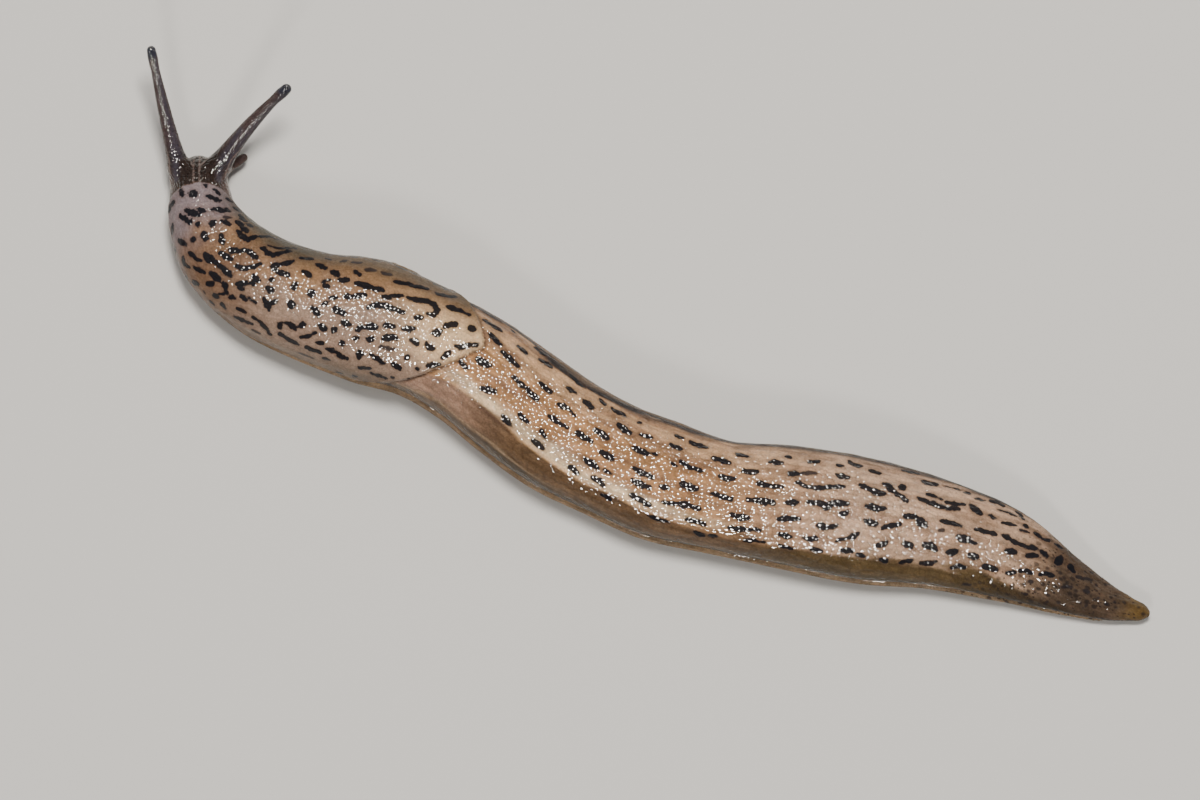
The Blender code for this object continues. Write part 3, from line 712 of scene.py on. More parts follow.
class Feeler:
    """Where points lie on one tentacle: how far along it, how far round it, and whether on it at all."""

    def __init__(self, points, shape):
        root = np.array(shape["root"])
        way = np.array(shape["tip"]) - root
        self.length = np.linalg.norm(way)
        self.part = ((points - root) @ way) / self.length ** 2
        ahead = way / self.length
        side = unit(np.cross(ahead, UPWARD))
        off = points - feeler_middle(shape, self.part)
        self.turn = np.arctan2(off @ np.cross(side, ahead), off @ side)
        out = np.linalg.norm(off - (off @ ahead)[:, None] * ahead, axis=1)
        near = out / feeler_radius(shape, self.part) < 1.5
        self.on = (self.part > 0.06) & (self.part < 1.15) & near
        self.start = shape["free"]
        self.core = shape["core"]
        self.free = self.on & (self.part > self.start)
        self.radius = np.mean(shape["radii"][2:]) * shape["stoutness"]

    def rise(self, low, high):
        """From 0 to 1 between two parts of the way along the tentacle, and 0 off it."""
        return np.where(self.on, ease(self.part, low, high), 0.0)


def restore_tube(points, shape):
    """Puts a tentacle's points back to its own radius, which smoothing shrinks, and rounds its end."""
    feeler = Feeler(points, shape)
    held = np.minimum(feeler.part, 1 - feeler_radius(shape, 1.0) / feeler.length)
    middle = feeler_middle(shape, held)
    off = points - middle
    size = np.maximum(np.linalg.norm(off, axis=1), 1e-6)
    goal = middle + off * (feeler_radius(shape, held) / size)[:, None]
    weight = feeler.on * ease(feeler.part, shape["restored"], shape["restored"] + 0.15)
    return points + (goal - points) * weight[:, None]


def smoothed(points, edges):
    """The skin without the cells' steps, with soft roots and the tentacles' own thickness."""
    points = relax(points, edges, np.ones(len(points)), EVENING_TURNS, EVENING)
    near_root = np.zeros(len(points))
    for shape in OPTIC + ORAL:
        far = np.linalg.norm(points - np.array(shape["root"]), axis=1)
        near_root = np.maximum(near_root, fade(far, 2.2, 4.0))
    points = relax(points, edges, near_root, ROOT_TURNS, SHRINKING)
    for shape in OPTIC + ORAL:
        points = restore_tube(points, shape)
    return points


def mantle_front(side):
    """Distance of the mantle's front edge from the snout."""
    sweep = np.where(side < 0, FRONT_SWEEP_LEFT, FRONT_SWEEP_RIGHT)
    return MANTLE_START + sweep * side ** 2 + CORNER_SWEEP * side ** 8


def mantle_rear(side):
    """Distance of the mantle's rear edge, which comes to a blunt point right of the middle."""
    off = side - MANTLE_POINT
    blunt = np.sqrt(off ** 2 + 0.0016) - 0.04
    return MANTLE_END - REAR_SWEEP * blunt - CORNER_SWEEP * (off / (1 + MANTLE_POINT)) ** 8


def arc_of(along, side):
    """Distance around at a side of the mantle."""
    arcs = TABLE_ARC[table_row(along), :len(GIRTHS)]
    return math.copysign(np.interp(abs(side) * MANTLE_SIDE, GIRTHS, arcs), side)


def side_of(along, around):
    """Side of the mantle for points of the skin, beyond 1 and -1 off it."""
    girth = np.zeros(len(along))
    arcs = TABLE_ARC[table_row(along)][:, :len(GIRTHS)]
    size = np.abs(around)
    for i in range(len(GIRTHS) - 1):
        t = (size - arcs[:, i]) / np.maximum(arcs[:, i + 1] - arcs[:, i], 1e-6)
        inside = (t >= 0) & (t <= 1)
        girth[inside] = (GIRTHS[i] + (GIRTHS[i + 1] - GIRTHS[i]) * t)[inside]
    girth[size > arcs[:, -1]] = 1.2
    return np.copysign(girth, around) / MANTLE_SIDE


def mantle_distance(points, along, around):
    """Signed distance to the mantle's edge, positive on the mantle."""
    side = side_of(along, around)
    held = np.clip(side, -1, 1)
    inside = (np.abs(side) < 1) & (along > mantle_front(held)) & (along < mantle_rear(held))
    rim = []
    for across in np.linspace(-1, 1, 161):
        for place in (mantle_front(across), mantle_rear(across)):
            rim.append(skin_point(place, arc_of(place, across)))
    for sign in (-1, 1):
        for place in np.linspace(mantle_front(sign), mantle_rear(sign), 260):
            rim.append(skin_point(place, arc_of(place, sign)))
    tree = point_tree(rim)
    far = np.array([tree.find(point)[2] for point in points])
    return np.where(inside, far, -far)


def pore_nearness(along, around):
    """Distance from the breathing pore's middle, 1 at its lip."""
    height = arc_of(PORE_ALONG, PORE_SIDE)
    return np.hypot((along - PORE_ALONG) / PORE_LENGTH, (around - height) / PORE_HEIGHT)


def camera_axes():
    """Right and up in the picture, and the way from the slug to the camera."""
    up = PICTURE_UP.normalized()
    away = Vector(UPWARD) * math.cos(VIEW_TILT) - up * math.sin(VIEW_TILT)
    top = (up - away * up.dot(away)).normalized()
    right = top.cross(away)
    return right, top, away


def surface_tree(mesh, points):
    return BVHTree.FromPolygons([tuple(p) for p in points], [tuple(f.vertices) for f in mesh.polygons])


def cast(tree, x, y):
    """Point of the skin under a pixel of the photo, if the skin isn't steep there."""
    right, top, away = camera_axes()
    eye = VIEW_TARGET + away * VIEW_DISTANCE
    spot = VIEW_TARGET + right * (x - PHOTO_WIDTH / 2) * PIXEL - top * (y - PHOTO_HEIGHT / 2) * PIXEL
    hit, normal, _, _ = tree.ray_cast(eye * MM, (spot - eye).normalized())
    if hit is None or normal.dot(away) < STEEPEST:
        return None
    return np.array(hit) / MM


def stroke_points(tree, stroke):
    """A stroke's points on the skin, close enough together to follow it."""
    pixels = np.array(stroke[1:]).reshape(-1, 2)
    if len(pixels) == 1:
        pixels = np.repeat(pixels, 2, axis=0)
    spots = []
    for start, end in zip(pixels, pixels[1:]):
        count = max(2, int(np.linalg.norm(end - start) / 4) + 2)
        for t in np.linspace(0, 1, count):
            hit = cast(tree, *(start + (end - start) * t))
            if hit is not None:
                spots.append(hit)
    return np.array(spots)


def stroke_distance(points, spots, half):
    """How far inside a stroke with tapered ends the points lie, negative outside."""
    low, high = spots.min(0) - half + OUTSIDE, spots.max(0) + half - OUTSIDE
    near = np.where(((points > low) & (points < high)).all(1))[0]
    value = np.full(len(near), OUTSIDE)
    close = points[near]
    last = len(spots) - 1
    for i, (start, end) in enumerate(zip(spots, spots[1:])):
        way = end - start
        t = np.clip(((close - start) @ way) / max(way @ way, 1e-9), 0, 1)
        far = np.linalg.norm(close - start - t[:, None] * way, axis=1)
        swell = 0.86 + 0.26 * np.sin(math.pi * (i + t) / last)
        value = np.maximum(value, half * swell - far)
    return near, value


def draw(points, strokes):
    """Signed distance in mm to the nearest of many strokes."""
    field = np.full(len(points), OUTSIDE)
    for spots, half in strokes:
        if len(spots) > 1:
            near, value = stroke_distance(points, spots, half)
            field[near] = np.maximum(field[near], value)
    return field


def photo_strokes(tree, strokes, spread=0.0):
    """Strokes on the skin with their half widths, each wider by a spread in mm."""
    return [(stroke_points(tree, stroke), stroke[0] * PIXEL / 2 + spread) for stroke in strokes]


def laid_stroke(along, reach, around, lean):
    """A stroke that runs along the body from a place on the skin, and leans sideways."""
    return np.array([skin_point(along + reach * t, around + lean * t) for t in np.linspace(0, 1, 4)])


def hidden_dashes():
    """Rows of dashes low on the right flank, which the photo doesn't show, as on the left one."""
    rng = np.random.default_rng(7)
    made = []
    for row, spare in enumerate((0.6, 2.4, 4.2)):
        along = 52.0 + 3.0 * row
        while along < 128.0:
            size = rng.uniform(1.0, 2.6)
            around = flank_arc(along) - spare - 1.2 + rng.uniform(-0.35, 0.35)
            if around > 3.0:
                made.append((laid_stroke(along, size, around, 0.2), rng.uniform(0.2, 0.33)))
            along += size + rng.uniform(1.2, 3.4)
    return made


def hidden_spots():
    """Spots low on the mantle's sides, which the photo doesn't show."""
    rng = np.random.default_rng(11)
    made = []
    for sign, highest in ((-1, 10.6), (1, 8.4)):
        along = mantle_front(sign * 0.8) + 1.2
        while along < mantle_rear(sign * 0.8) - 1.0:
            around = highest + rng.uniform(-0.4, 0.6)
            lowest = abs(arc_of(along, 1.0)) - 0.7
            while around < lowest:
                start = along + rng.uniform(-0.7, 0.7)
                reach = rng.uniform(0.3, 1.3)
                lean = rng.uniform(-0.25, 0.25)
                spots = laid_stroke(start, reach, sign * around, sign * lean)
                made.append((spots, rng.uniform(0.24, 0.42)))
                around += rng.uniform(1.5, 2.1)
            along += rng.uniform(2.0, 2.8)
    return made


def linear(*colour):
    """Linear light from display values."""
    value = np.array(colour)
    return np.where(value <= 0.04045, value / 12.92, ((value + 0.055) / 1.055) ** 2.4)


PINK_GREY = linear(0.465, 0.355, 0.275)
LEFT_GREY = linear(0.60, 0.50, 0.43)
WARM_TAN = linear(0.59, 0.45, 0.325)
FRONT_GREY = linear(0.51, 0.455, 0.46)
MANTLE_PALE_AND_SHEEN = linear(0.88, 0.735, 0.57)
MANTLE_LOW = linear(0.30, 0.245, 0.165)
MANTLE_FAR_SHADE = linear(0.25, 0.24, 0.2)
BEIGE = linear(0.665, 0.49, 0.335)
SIDE_BEIGE = linear(0.73, 0.58, 0.44)
REAR_BEIGE = linear(0.735, 0.605, 0.50)
PALE_STRIPE = linear(0.94, 0.82, 0.66)
STREAK_BROWN = linear(0.48, 0.355, 0.27)
FLANK_FRONT = linear(0.63, 0.50, 0.42)
FLANK_BROWN = linear(0.37, 0.285, 0.205)
FLANK_REAR = linear(0.31, 0.25, 0.155)
# Dark brown for the rim of the flank's band, and painted shade in the crease behind the mantle.
BAND_RIM_AND_CREASE_SHADE = linear(0.28, 0.205, 0.165)
FAR_FLANK = linear(0.12, 0.115, 0.13)
LOW_FLANK_SHADE = linear(0.26, 0.21, 0.145)
FRINGE_PALE = linear(0.64, 0.53, 0.41)
TAIL_BROWN = linear(0.205, 0.165, 0.13)
TIP_OCHRE = linear(0.42, 0.325, 0.17)
HEAD_BROWN = linear(0.17, 0.13, 0.112)
HEAD_PINK = linear(0.35, 0.27, 0.25)
HEAD_PALE = linear(0.48, 0.41, 0.385)
CORE_DARK = linear(0.25, 0.23, 0.262)
FEELER_BROWN = linear(0.28, 0.22, 0.21)
PORE_SHADE = linear(0.09, 0.07, 0.06)
BULB_GREY = linear(0.17, 0.17, 0.21)
SOLE_CREAM = linear(0.74, 0.66, 0.54)
MARK_BLACK = linear(0.075, 0.08, 0.10)
HALO_BROWN = linear(0.34, 0.25, 0.20)
FAINT_GREY = linear(0.14, 0.125, 0.135)
SPECKLE_DARK = linear(0.14, 0.12, 0.115)

# Distances along the body, and how far from mid-back the left flank's dark band starts there
BAND_ALONG = (44, 51, 56, 61, 66, 70, 76, 93, 100, 111, 118, 124, 132)
BAND_TOP = (5.4, 4.2, 4.4, 4.4, 4.9, 5.4, 5.7, 6.1, 6.3, 5.9, 5.2, 4.4, 3.6)

# How far apart the seeds' parts of the noise lie
NOISE_SHIFT = Vector((17.3, 5.1, 9.7))


def mixed(under, over, amount):
    return under + (over - under) * np.asarray(amount)[:, None]


def fractal(points, scale, seed):
    """Soft noise from about -1 to 1."""
    shift = NOISE_SHIFT * seed
    return np.array([noise.fractal(Vector(point) * scale + shift, 1.0, 2.0, 3) for point in points])


def flat_places(along, around):
    return np.stack([along, around, np.zeros(len(along))], 1)


def band_top(along, around):
    """Distance around from mid-back at which the dark band of the flank starts."""
    left = np.interp(along, BAND_ALONG, BAND_TOP)
    right = left + 1.3 + 2.2 * fade(along, 54.0, 68.0) + 1.2 * ease(along, 104.0, 124.0)
    return np.where(around > 0, right, left)


def back_tone(along, around, streak):
    """Beige with brown streaks along the body."""
    tone = mixed(BEIGE, SIDE_BEIGE, ease(around, 1.6, 4.0))
    tone = mixed(tone, REAR_BEIGE, ease(along, 84.0, 112.0))
    rows = streak + 0.25 * np.cos(around * 2 * math.pi / 3.6)
    return mixed(tone, STREAK_BROWN, (0.74 - 0.32 * ease(along, 70.0, 102.0)) * ease(rows, -0.1, 0.36))


def trunk_tone(along, around, streak):
    """The back's tone, and on the flanks a pale stripe over a dark band, and darker low down, partly as
    painted shade.
    """
    left = around < 0
    below = np.abs(around) - band_top(along, around) + 0.5 * streak
    stripe = bell(below, -1.05, 0.9) * ease(along, 47.0, 56.0) * fade(along, 78.0, 100.0)
    tone = mixed(back_tone(along, around, streak), PALE_STRIPE, 0.82 * stripe * left)
    brown = mixed(FLANK_FRONT, FLANK_BROWN, ease(along, 50.0, 64.0))
    brown = mixed(brown, FLANK_REAR, ease(along, 88.0, 106.0))
    dark = mixed(brown, FAR_FLANK, fade(below, 0.7, 1.9) * ~left)
    soft = 0.3 + 0.4 * ease(along, 72.0, 100.0)
    tone = mixed(tone, dark, 0.96 * ease((below + 0.3 * streak) / soft, -1.0, 1.3))
    rim = bell(below, 0.35, 0.3) * fade(along, 84.0, 104.0) * ease(streak, -0.4, 0.5)
    tone = mixed(tone, BAND_RIM_AND_CREASE_SHADE, 0.6 * rim * left)
    # Darker brown low on the flanks, partly the flank's own brown and partly painted shade.
    tone = mixed(tone, LOW_FLANK_SHADE, 0.8 * ease(below, 2.4, 4.8))
    line = bell(below, 3.7, 0.28) * ease(along, 42.0, 46.0) * fade(along, 62.0, 72.0)
    tone = mixed(tone, FRINGE_PALE, 0.8 * line)
    tail = along + 1.5 * streak + 1.3 * np.maximum(below, 0.0)
    tone = mixed(tone, TAIL_BROWN, 0.9 * ease(tail, 128.0, 138.0))
    return mixed(tone, TIP_OCHRE, 0.8 * ease(along, 145.0, 149.0))


def mantle_tone(along, around, blotch):
    """Pinkish grey on the left and in front, tan on the right, pale at the rear point partly as painted
    sheen, darker low on the left, and painted shade over the right side.
    """
    tone = mixed(PINK_GREY, LEFT_GREY, ease(along, 16.0, 26.0))
    tone = mixed(tone, WARM_TAN, ease(around + 3.0 * blotch, -2.0, 4.6))
    tone = mixed(tone, FRONT_GREY, fade(along + 2.0 * blotch, 8.0, 15.5))
    # The pale rear point is partly the mantle's own paler skin and partly painted sheen.
    rear = ease(along, 36.0, 49.0) * fade(np.abs(around - 0.6), 1.6, 6.0)
    tone = mixed(tone, MANTLE_PALE_AND_SHEEN, 0.85 * rear)
    tone = mixed(tone, MANTLE_LOW, 0.75 * ease(-around, 5.5, 11.5))
    # Painted shade over the right side of the mantle, reaching higher up in front.
    front = fade(along, 24.0, 34.0)
    return mixed(tone, MANTLE_FAR_SHADE, (0.75 + 0.2 * front) * ease(around + 1.2 * front, 2.6, 7.6))


class Places:
    """Where the points of the skin lie on the body, the tentacles and the mantle."""

    def __init__(self, points):
        self.points = points
        self.up = points[:, 2]
        self.along, self.around = place_on_skin(points)
        self.edge = flank_arc(self.along) - np.abs(self.around)
        self.feelers = [Feeler(points, shape) for shape in OPTIC + ORAL]
        roots = [feeler.rise(0.6 * feeler.start, feeler.start + 0.15) for feeler in self.feelers]
        self.feeler = np.max(roots, 0)
        optic = self.feelers[:len(OPTIC)]
        self.bulb = np.max([feeler.rise(0.87, 0.94) for feeler in optic], 0)
        lines = [feeler.rise(0.0, 0.15) * bell(feeler.turn, feeler.core, 0.7) for feeler in optic]
        self.top_line = np.max(lines, 0)
        mantle = mantle_distance(points, self.along, self.around)
        self.mantle = np.where(self.feeler > 0.5, -5.0, mantle)
        self.saddle = ease(self.mantle, -0.15, 0.15)
        self.pore = pore_nearness(self.along, self.around)


def skin_tone(at, cores):
    """Ground colour of the skin, by place."""
    blotch = fractal(at.points, 0.22, 1)
    streak = fractal(flat_places(at.along * 0.1, at.around * 0.75), 1.0, 2)
    tone = trunk_tone(at.along, at.around, streak)
    tone = mixed(tone, mantle_tone(at.along, at.around, blotch), at.saddle)
    # Painted shade in the crease just outside the mantle's rear edge.
    crease_shade = bell(at.mantle, -0.16, 0.2) * ease(at.along, 30.0, 42.0)
    tone = mixed(tone, BAND_RIM_AND_CREASE_SHADE, 0.75 * crease_shade)
    brown = mixed(HEAD_BROWN, HEAD_PINK, ease(np.abs(at.around), 2.2, 5.5))
    tone = mixed(tone, brown, fade(at.along, 9.0, 18.0) * (1 - at.saddle))
    tone = mixed(tone, FEELER_BROWN, 0.9 * at.feeler)
    dark = np.maximum(ease(cores, -0.5, 0.3), at.top_line)
    tone = mixed(tone, CORE_DARK, 0.8 * dark * (1 - at.saddle))
    tone = mixed(tone, BULB_GREY, at.bulb)
    tone = mixed(tone, MANTLE_PALE_AND_SHEEN, 0.25 * bell(at.pore, 1.3, 0.25))
    # Painted shade inside the breathing pore.
    tone = mixed(tone, PORE_SHADE, fade(at.pore, 0.65, 1.0))
    fringe = ease(-at.edge, -0.4, 0.1) * (1 - at.feeler) * ease(at.along, 5.0, 8.0)
    tone = mixed(tone, FRINGE_PALE, 0.85 * fringe)
    tone = mixed(tone, SOLE_CREAM, ease(0.3 - at.up, 0.0, 0.25))
    return np.clip(tone * (1 + 0.10 * blotch)[:, None], 0, 1)


def calmness(at):
    """1 where the granules are low, as on the flanks, and below 0 where they stand out, before the tail."""
    ridge = fade(np.abs(at.around + 0.3), 2.0, 4.4) * ease(at.along, 7.5, 12.0)
    ridge *= 1 - 0.6 * ease(at.along, 42.0, 48.0)
    flanks = ease(np.abs(at.around) - band_top(at.along, at.around), -1.2, 0.3) * ease(at.along, 8.0, 12.0)
    low = (1.25 - ridge) * at.saddle + flanks * (1 - at.saddle)
    rough = 0.35 * ease(at.along, 98.0, 106.0) * fade(at.along, 118.0, 126.0) * (1 - flanks)
    calm = np.maximum(low, 0.8 * ease(at.along, 124.0, 136.0)) - rough
    return calm * (1 - at.feeler) + 0.6 * at.feeler


def relief(at):
    """How far the skin stands out of its plain shape, in mm."""
    step = 0.45 + 0.55 * ease(at.along, 8.0, 20.0)
    lift = MANTLE_RISE * ease(at.mantle, -0.05, 0.4)
    lift += RIM_SWELL * bell(at.mantle, 0.5, 0.35) * (at.mantle > -0.2) * step
    lift -= GROOVE_DEPTH * bell(at.mantle, 0.0, 0.35) * (at.mantle < 0) * step
    lift += PORE_LIP * bell(at.pore, 1.35, 0.3) - PORE_DEPTH * fade(at.pore, 0.45, 1.05)
    wrinkle = fractal(flat_places(at.along * 0.35, at.around * 0.9), 1.0, 3)
    lift += WRINKLE_HEIGHT * wrinkle * (1 - at.feeler) * ease(at.up, 0.3, 1.6)
    return lift * ease(at.up, 0.2, 1.0)


def grain_places(at):
    """Where each point looks up the grain: flat places on the body, rolled out ones on the tentacles."""
    drawn_out = (FINE_GRAIN - 1) * np.minimum(at.along - FINE_END, 0.0)
    widened = 1 + (FINE_GRAIN - 1) * fade(at.along, FINE_END - FINE_BLEND, FINE_END + FINE_BLEND)
    places = flat_places(at.along + drawn_out, at.around * widened)
    for i, feeler in enumerate(at.feelers):
        layer = np.full(len(places), FEELER_LAYER * (i + 1))
        rolled = np.stack([feeler.part * feeler.length, feeler.turn * feeler.radius, layer], 1)
        places[feeler.free] = rolled[feeler.free] * (FINE_GRAIN, FINE_GRAIN, 1.0)
    return places


def add_layer(mesh, name, values, kind="FLOAT", field="value"):
    layer = mesh.attributes.new(name, kind, "POINT")
    layer.data.foreach_set(field, np.asarray(values, np.float32).ravel())


def add_layers(mesh, at):
    """Everything that the material looks up by place."""
    tree = surface_tree(mesh, at.points * MM)
    marks = photo_strokes(tree, MANTLE_SPOTS, SPOT_SPREAD) + photo_strokes(tree, TRUNK_DASHES, DASH_SPREAD)
    marks += hidden_dashes() + hidden_spots()
    add_layer(mesh, "mark", np.where(at.pore < PORE_CLEARING, OUTSIDE, draw(at.points, marks)))
    add_layer(mesh, "faint", draw(at.points, photo_strokes(tree, FAINT_MARKS, FAINT_SPREAD)))
    lines = draw(at.points, photo_strokes(tree, HEAD_LINES))
    add_layer(mesh, "pale", np.where(at.mantle > 0.1, OUTSIDE, lines))
    add_layer(mesh, "saddle", np.maximum(ease(at.mantle, -0.1, 0.2), at.feeler))
    add_layer(mesh, "speckle", ease(at.along + 0.8 * np.maximum(-at.around, 0.0), 124.0, 137.0))
    add_layer(mesh, "rim", ease(-at.edge, -0.2, 0.2) * (1 - at.feeler) * ease(at.along, 5.0, 8.0))
    add_layer(mesh, "calm", calmness(at))
    add_layer(mesh, "skin_at", grain_places(at), "FLOAT_VECTOR", "vector")
    tone = skin_tone(at, draw(at.points, photo_strokes(tree, HEAD_CORES)))
    full = np.concatenate([tone, np.ones((len(tone), 1))], 1)
    add_layer(mesh, "tone", full, "FLOAT_COLOR", "color")


class Nodes:
    """Short ways to add and join shader nodes."""

    def __init__(self, name):
        self.material = bpy.data.materials.new(name)
        self.material.use_nodes = True
        self.tree = self.material.node_tree
        self.shader = self.tree.nodes["Principled BSDF"]

    def put(self, socket, value):
        if isinstance(value, bpy.types.NodeSocket):
            self.tree.links.new(value, socket)
        else:
            socket.default_value = value

    def add(self, kind, **settings):
        node = self.tree.nodes.new(kind)
        for name, value in settings.items():
            setattr(node, name, value)
        return node

    def fill(self, node, *in_order, **by_name):
        for socket, value in zip(node.inputs, in_order):
            self.put(socket, value)
        for name, value in by_name.items():
            self.put(node.inputs[name], value)
        return node

    def attribute(self, name, output="Fac"):
        return self.add("ShaderNodeAttribute", attribute_name=name).outputs[output]

    def math(self, kind, *values):
        return self.fill(self.add("ShaderNodeMath", operation=kind), *values).outputs[0]

    def times(self, a, b):
        return self.math("MULTIPLY", a, b)

    def plus(self, a, b):
        return self.math("ADD", a, b)

    def less(self, a, b):
        return self.math("SUBTRACT", a, b)

    def noise(self, vector, scale, detail=3.0):
        node = self.fill(self.add("ShaderNodeTexNoise"), Vector=vector, Scale=scale, Detail=detail)
        return node.outputs["Fac"]

    def stretch(self, vector, along, around):
        node = self.add("ShaderNodeVectorMath", operation="MULTIPLY")
        return self.fill(node, vector, (along, around, 1.0)).outputs[0]

    def cells(self, vector, along, around):
        """Distance to the nearest one of scattered middles, so many to a millimetre along and around."""
        place = self.stretch(vector, along, around)
        node = self.fill(self.add("ShaderNodeTexVoronoi"), Vector=place, Scale=1.0, Randomness=0.85)
        return node.outputs["Distance"]

    def ramp(self, value, low, high, start=0.0, end=1.0):
        node = self.add("ShaderNodeMapRange", interpolation_type="SMOOTHSTEP")
        return self.fill(node, value, low, high, start, end).outputs[0]

    def mix(self, amount, a, b, kind="MIX"):
        node = self.add("ShaderNodeMix", data_type="RGBA", blend_type=kind)
        for i, value in ((0, amount), (6, a), (7, b)):
            self.put(node.inputs[i], value)
        return node.outputs[2]

    def blend(self, amount, a, b):
        node = self.add("ShaderNodeMix", data_type="FLOAT")
        for i, value in ((0, amount), (2, a), (3, b)):
            self.put(node.inputs[i], value)
        return node.outputs[0]

    def over(self, ground, colour, amount, strength):
        """A plain colour laid over a ground."""
        return self.mix(self.times(amount, strength), ground, (*colour, 1.0))

    def bump(self, height, distance):
        node = self.fill(self.add("ShaderNodeBump"), Strength=1.0, Distance=distance, Height=height)
        return node.outputs[0]

    def shade(self, **values):
        for name, value in values.items():
            title = name.replace("_", " ").title().replace("Ior", "IOR")
            self.put(self.shader.inputs[title], value)


def granules(n, distance):
    """Height of round granules, 0 at their tops, out of the distances to the middles of cells."""
    return n.times(n.times(distance, distance), -1.0)


def ground_colour(n, place, cells, fine):
    """The tone with painted shade between the granules and specks and along the trunk's furrow lines, random
    mottling, and dark flecks on the tail.
    """
    # Painted shade: darker between the granules and fine specks, and on the trunk in the furrow lines
    # between long cells.
    shade = n.times(n.ramp(cells, 0.3, 0.8, 1.05, 0.84), n.ramp(fine, 0.2, 0.8, 1.05, 0.88))
    furrow_shade = n.ramp(n.cells(place, 0.26, 1.05), 0.3, 0.75, 1.16, 0.82)
    shade = n.times(shade, n.blend(n.attribute("saddle"), furrow_shade, 1.0))
    # The painted shade, with random lighter and darker mottling.
    grain = n.times(shade, n.ramp(n.noise(place, 3.2, 4.0), 0.25, 0.75, 0.84, 1.14))
    ground = n.mix(1.0, n.attribute("tone", "Color"), grain, "MULTIPLY")
    large = n.ramp(n.cells(place, 0.8, 1.0), 0.42, 0.2)
    small = n.ramp(n.cells(place, 1.5, 1.9), 0.34, 0.2)
    flecks = n.times(n.math("MAXIMUM", large, small), n.attribute("speckle"))
    return n.over(ground, SPECKLE_DARK, flecks, 0.8)


def marked_colour(n, ground, ragged):
    """The ground with the marks, their soft rims, and the pale lines on the head."""
    inside = n.plus(n.attribute("mark"), ragged)
    faint = n.plus(n.attribute("faint"), ragged)
    pale = n.math("MULTIPLY_ADD", ragged, 0.3, n.attribute("pale"))
    ground = n.over(ground, HALO_BROWN, n.ramp(inside, -0.6, 0.0), 0.25)
    ground = n.over(ground, FAINT_GREY, n.ramp(faint, -0.15, 0.15), 0.9)
    ground = n.over(ground, HEAD_PALE, n.ramp(pale, -0.12, 0.04), 0.6)
    return n.over(ground, MARK_BLACK, n.ramp(inside, -0.1, 0.1), 0.97)


def skin_height(n, place, cells, calm):
    """Height of the granules, in uneven patches and lower on calm skin, and fine lines across the fringe."""
    swell = n.ramp(n.noise(place, 0.55, 2.0), 0.32, 0.66, 0.6, 1.2)
    swell = n.times(swell, n.math("MULTIPLY_ADD", calm, -0.55, 1.0))
    striae = n.noise(n.stretch(place, 3.6, 0.5), 1.0, 2.0)
    return n.blend(n.attribute("rim"), n.times(granules(n, cells), swell), striae)


def skin_material():
    n = Nodes("slug_skin")
    place = n.attribute("skin_at", "Vector")
    calm = n.attribute("calm")
    cells = n.blend(n.attribute("saddle"), n.cells(place, 1.3, 1.85), n.cells(place, 1.6, 1.8))
    fine = n.cells(place, 4.2, 4.6)
    ragged = n.times(n.less(n.noise(place, 1.15), 0.5), 0.55)
    ragged = n.less(ragged, n.times(n.less(cells, 0.4), 0.3))
    colour = marked_colour(n, ground_colour(n, place, cells, fine), ragged)
    damp = n.ramp(n.noise(place, 0.9, 2.0), 0.3, 0.7, 0.45, 0.62)
    height = skin_height(n, place, cells, calm)
    close_up = n.math("MULTIPLY_ADD", granules(n, fine), 0.22, height)
    n.shade(base_color=colour, roughness=damp, normal=n.bump(close_up, BASE_BUMP * MM))
    n.shade(coat_weight=n.ramp(calm, 0.0, 1.0, 1.0, 0.55), coat_roughness=0.03, coat_ior=1.45)
    n.shade(coat_normal=n.bump(height, COAT_BUMP * MM), specular_ior_level=0.0, ior=1.4)
    n.shade(subsurface_weight=0.08, subsurface_scale=0.5 * MM, subsurface_radius=(1.0, 0.5, 0.3))
    return n.material


def eye_material():
    n = Nodes("slug_eye")
    cloud = n.noise(n.add("ShaderNodeTexCoord").outputs["Object"], 900.0, 2.0)
    colour = n.mix(n.ramp(cloud, 0.3, 0.7), (0.004, 0.004, 0.006, 1), (0.012, 0.012, 0.02, 1))
    n.shade(base_color=colour, roughness=0.12, coat_weight=1.0, coat_roughness=0.04)
    return n.material


class Corners:
    """Corners of a mesh's faces, and what holds for each corner's face."""

    def __init__(self, mesh):
        self.sizes = read(mesh.polygons, "loop_total", 1, np.int32).ravel()
        self.faces = np.repeat(np.arange(len(self.sizes)), self.sizes)
        self.vertices = read(mesh.loops, "vertex_index", 1, np.int32).ravel()

    def mean(self, values):
        total = np.bincount(self.faces, values[self.vertices])
        return (total / self.sizes)[self.faces]

    def mostly(self, chosen):
        return self.mean(chosen.astype(float)) > 0.5

    def unroll(self, values, near_seam, whole):
        """Values round a ring, from minus to plus half of its whole, without a face torn by the seam."""
        high = self.mostly(values > 0)
        values = values[self.vertices]
        torn = near_seam & np.where(high, values < 0, values > 0)
        return values + np.where(torn, np.where(high, whole, -whole), 0.0)


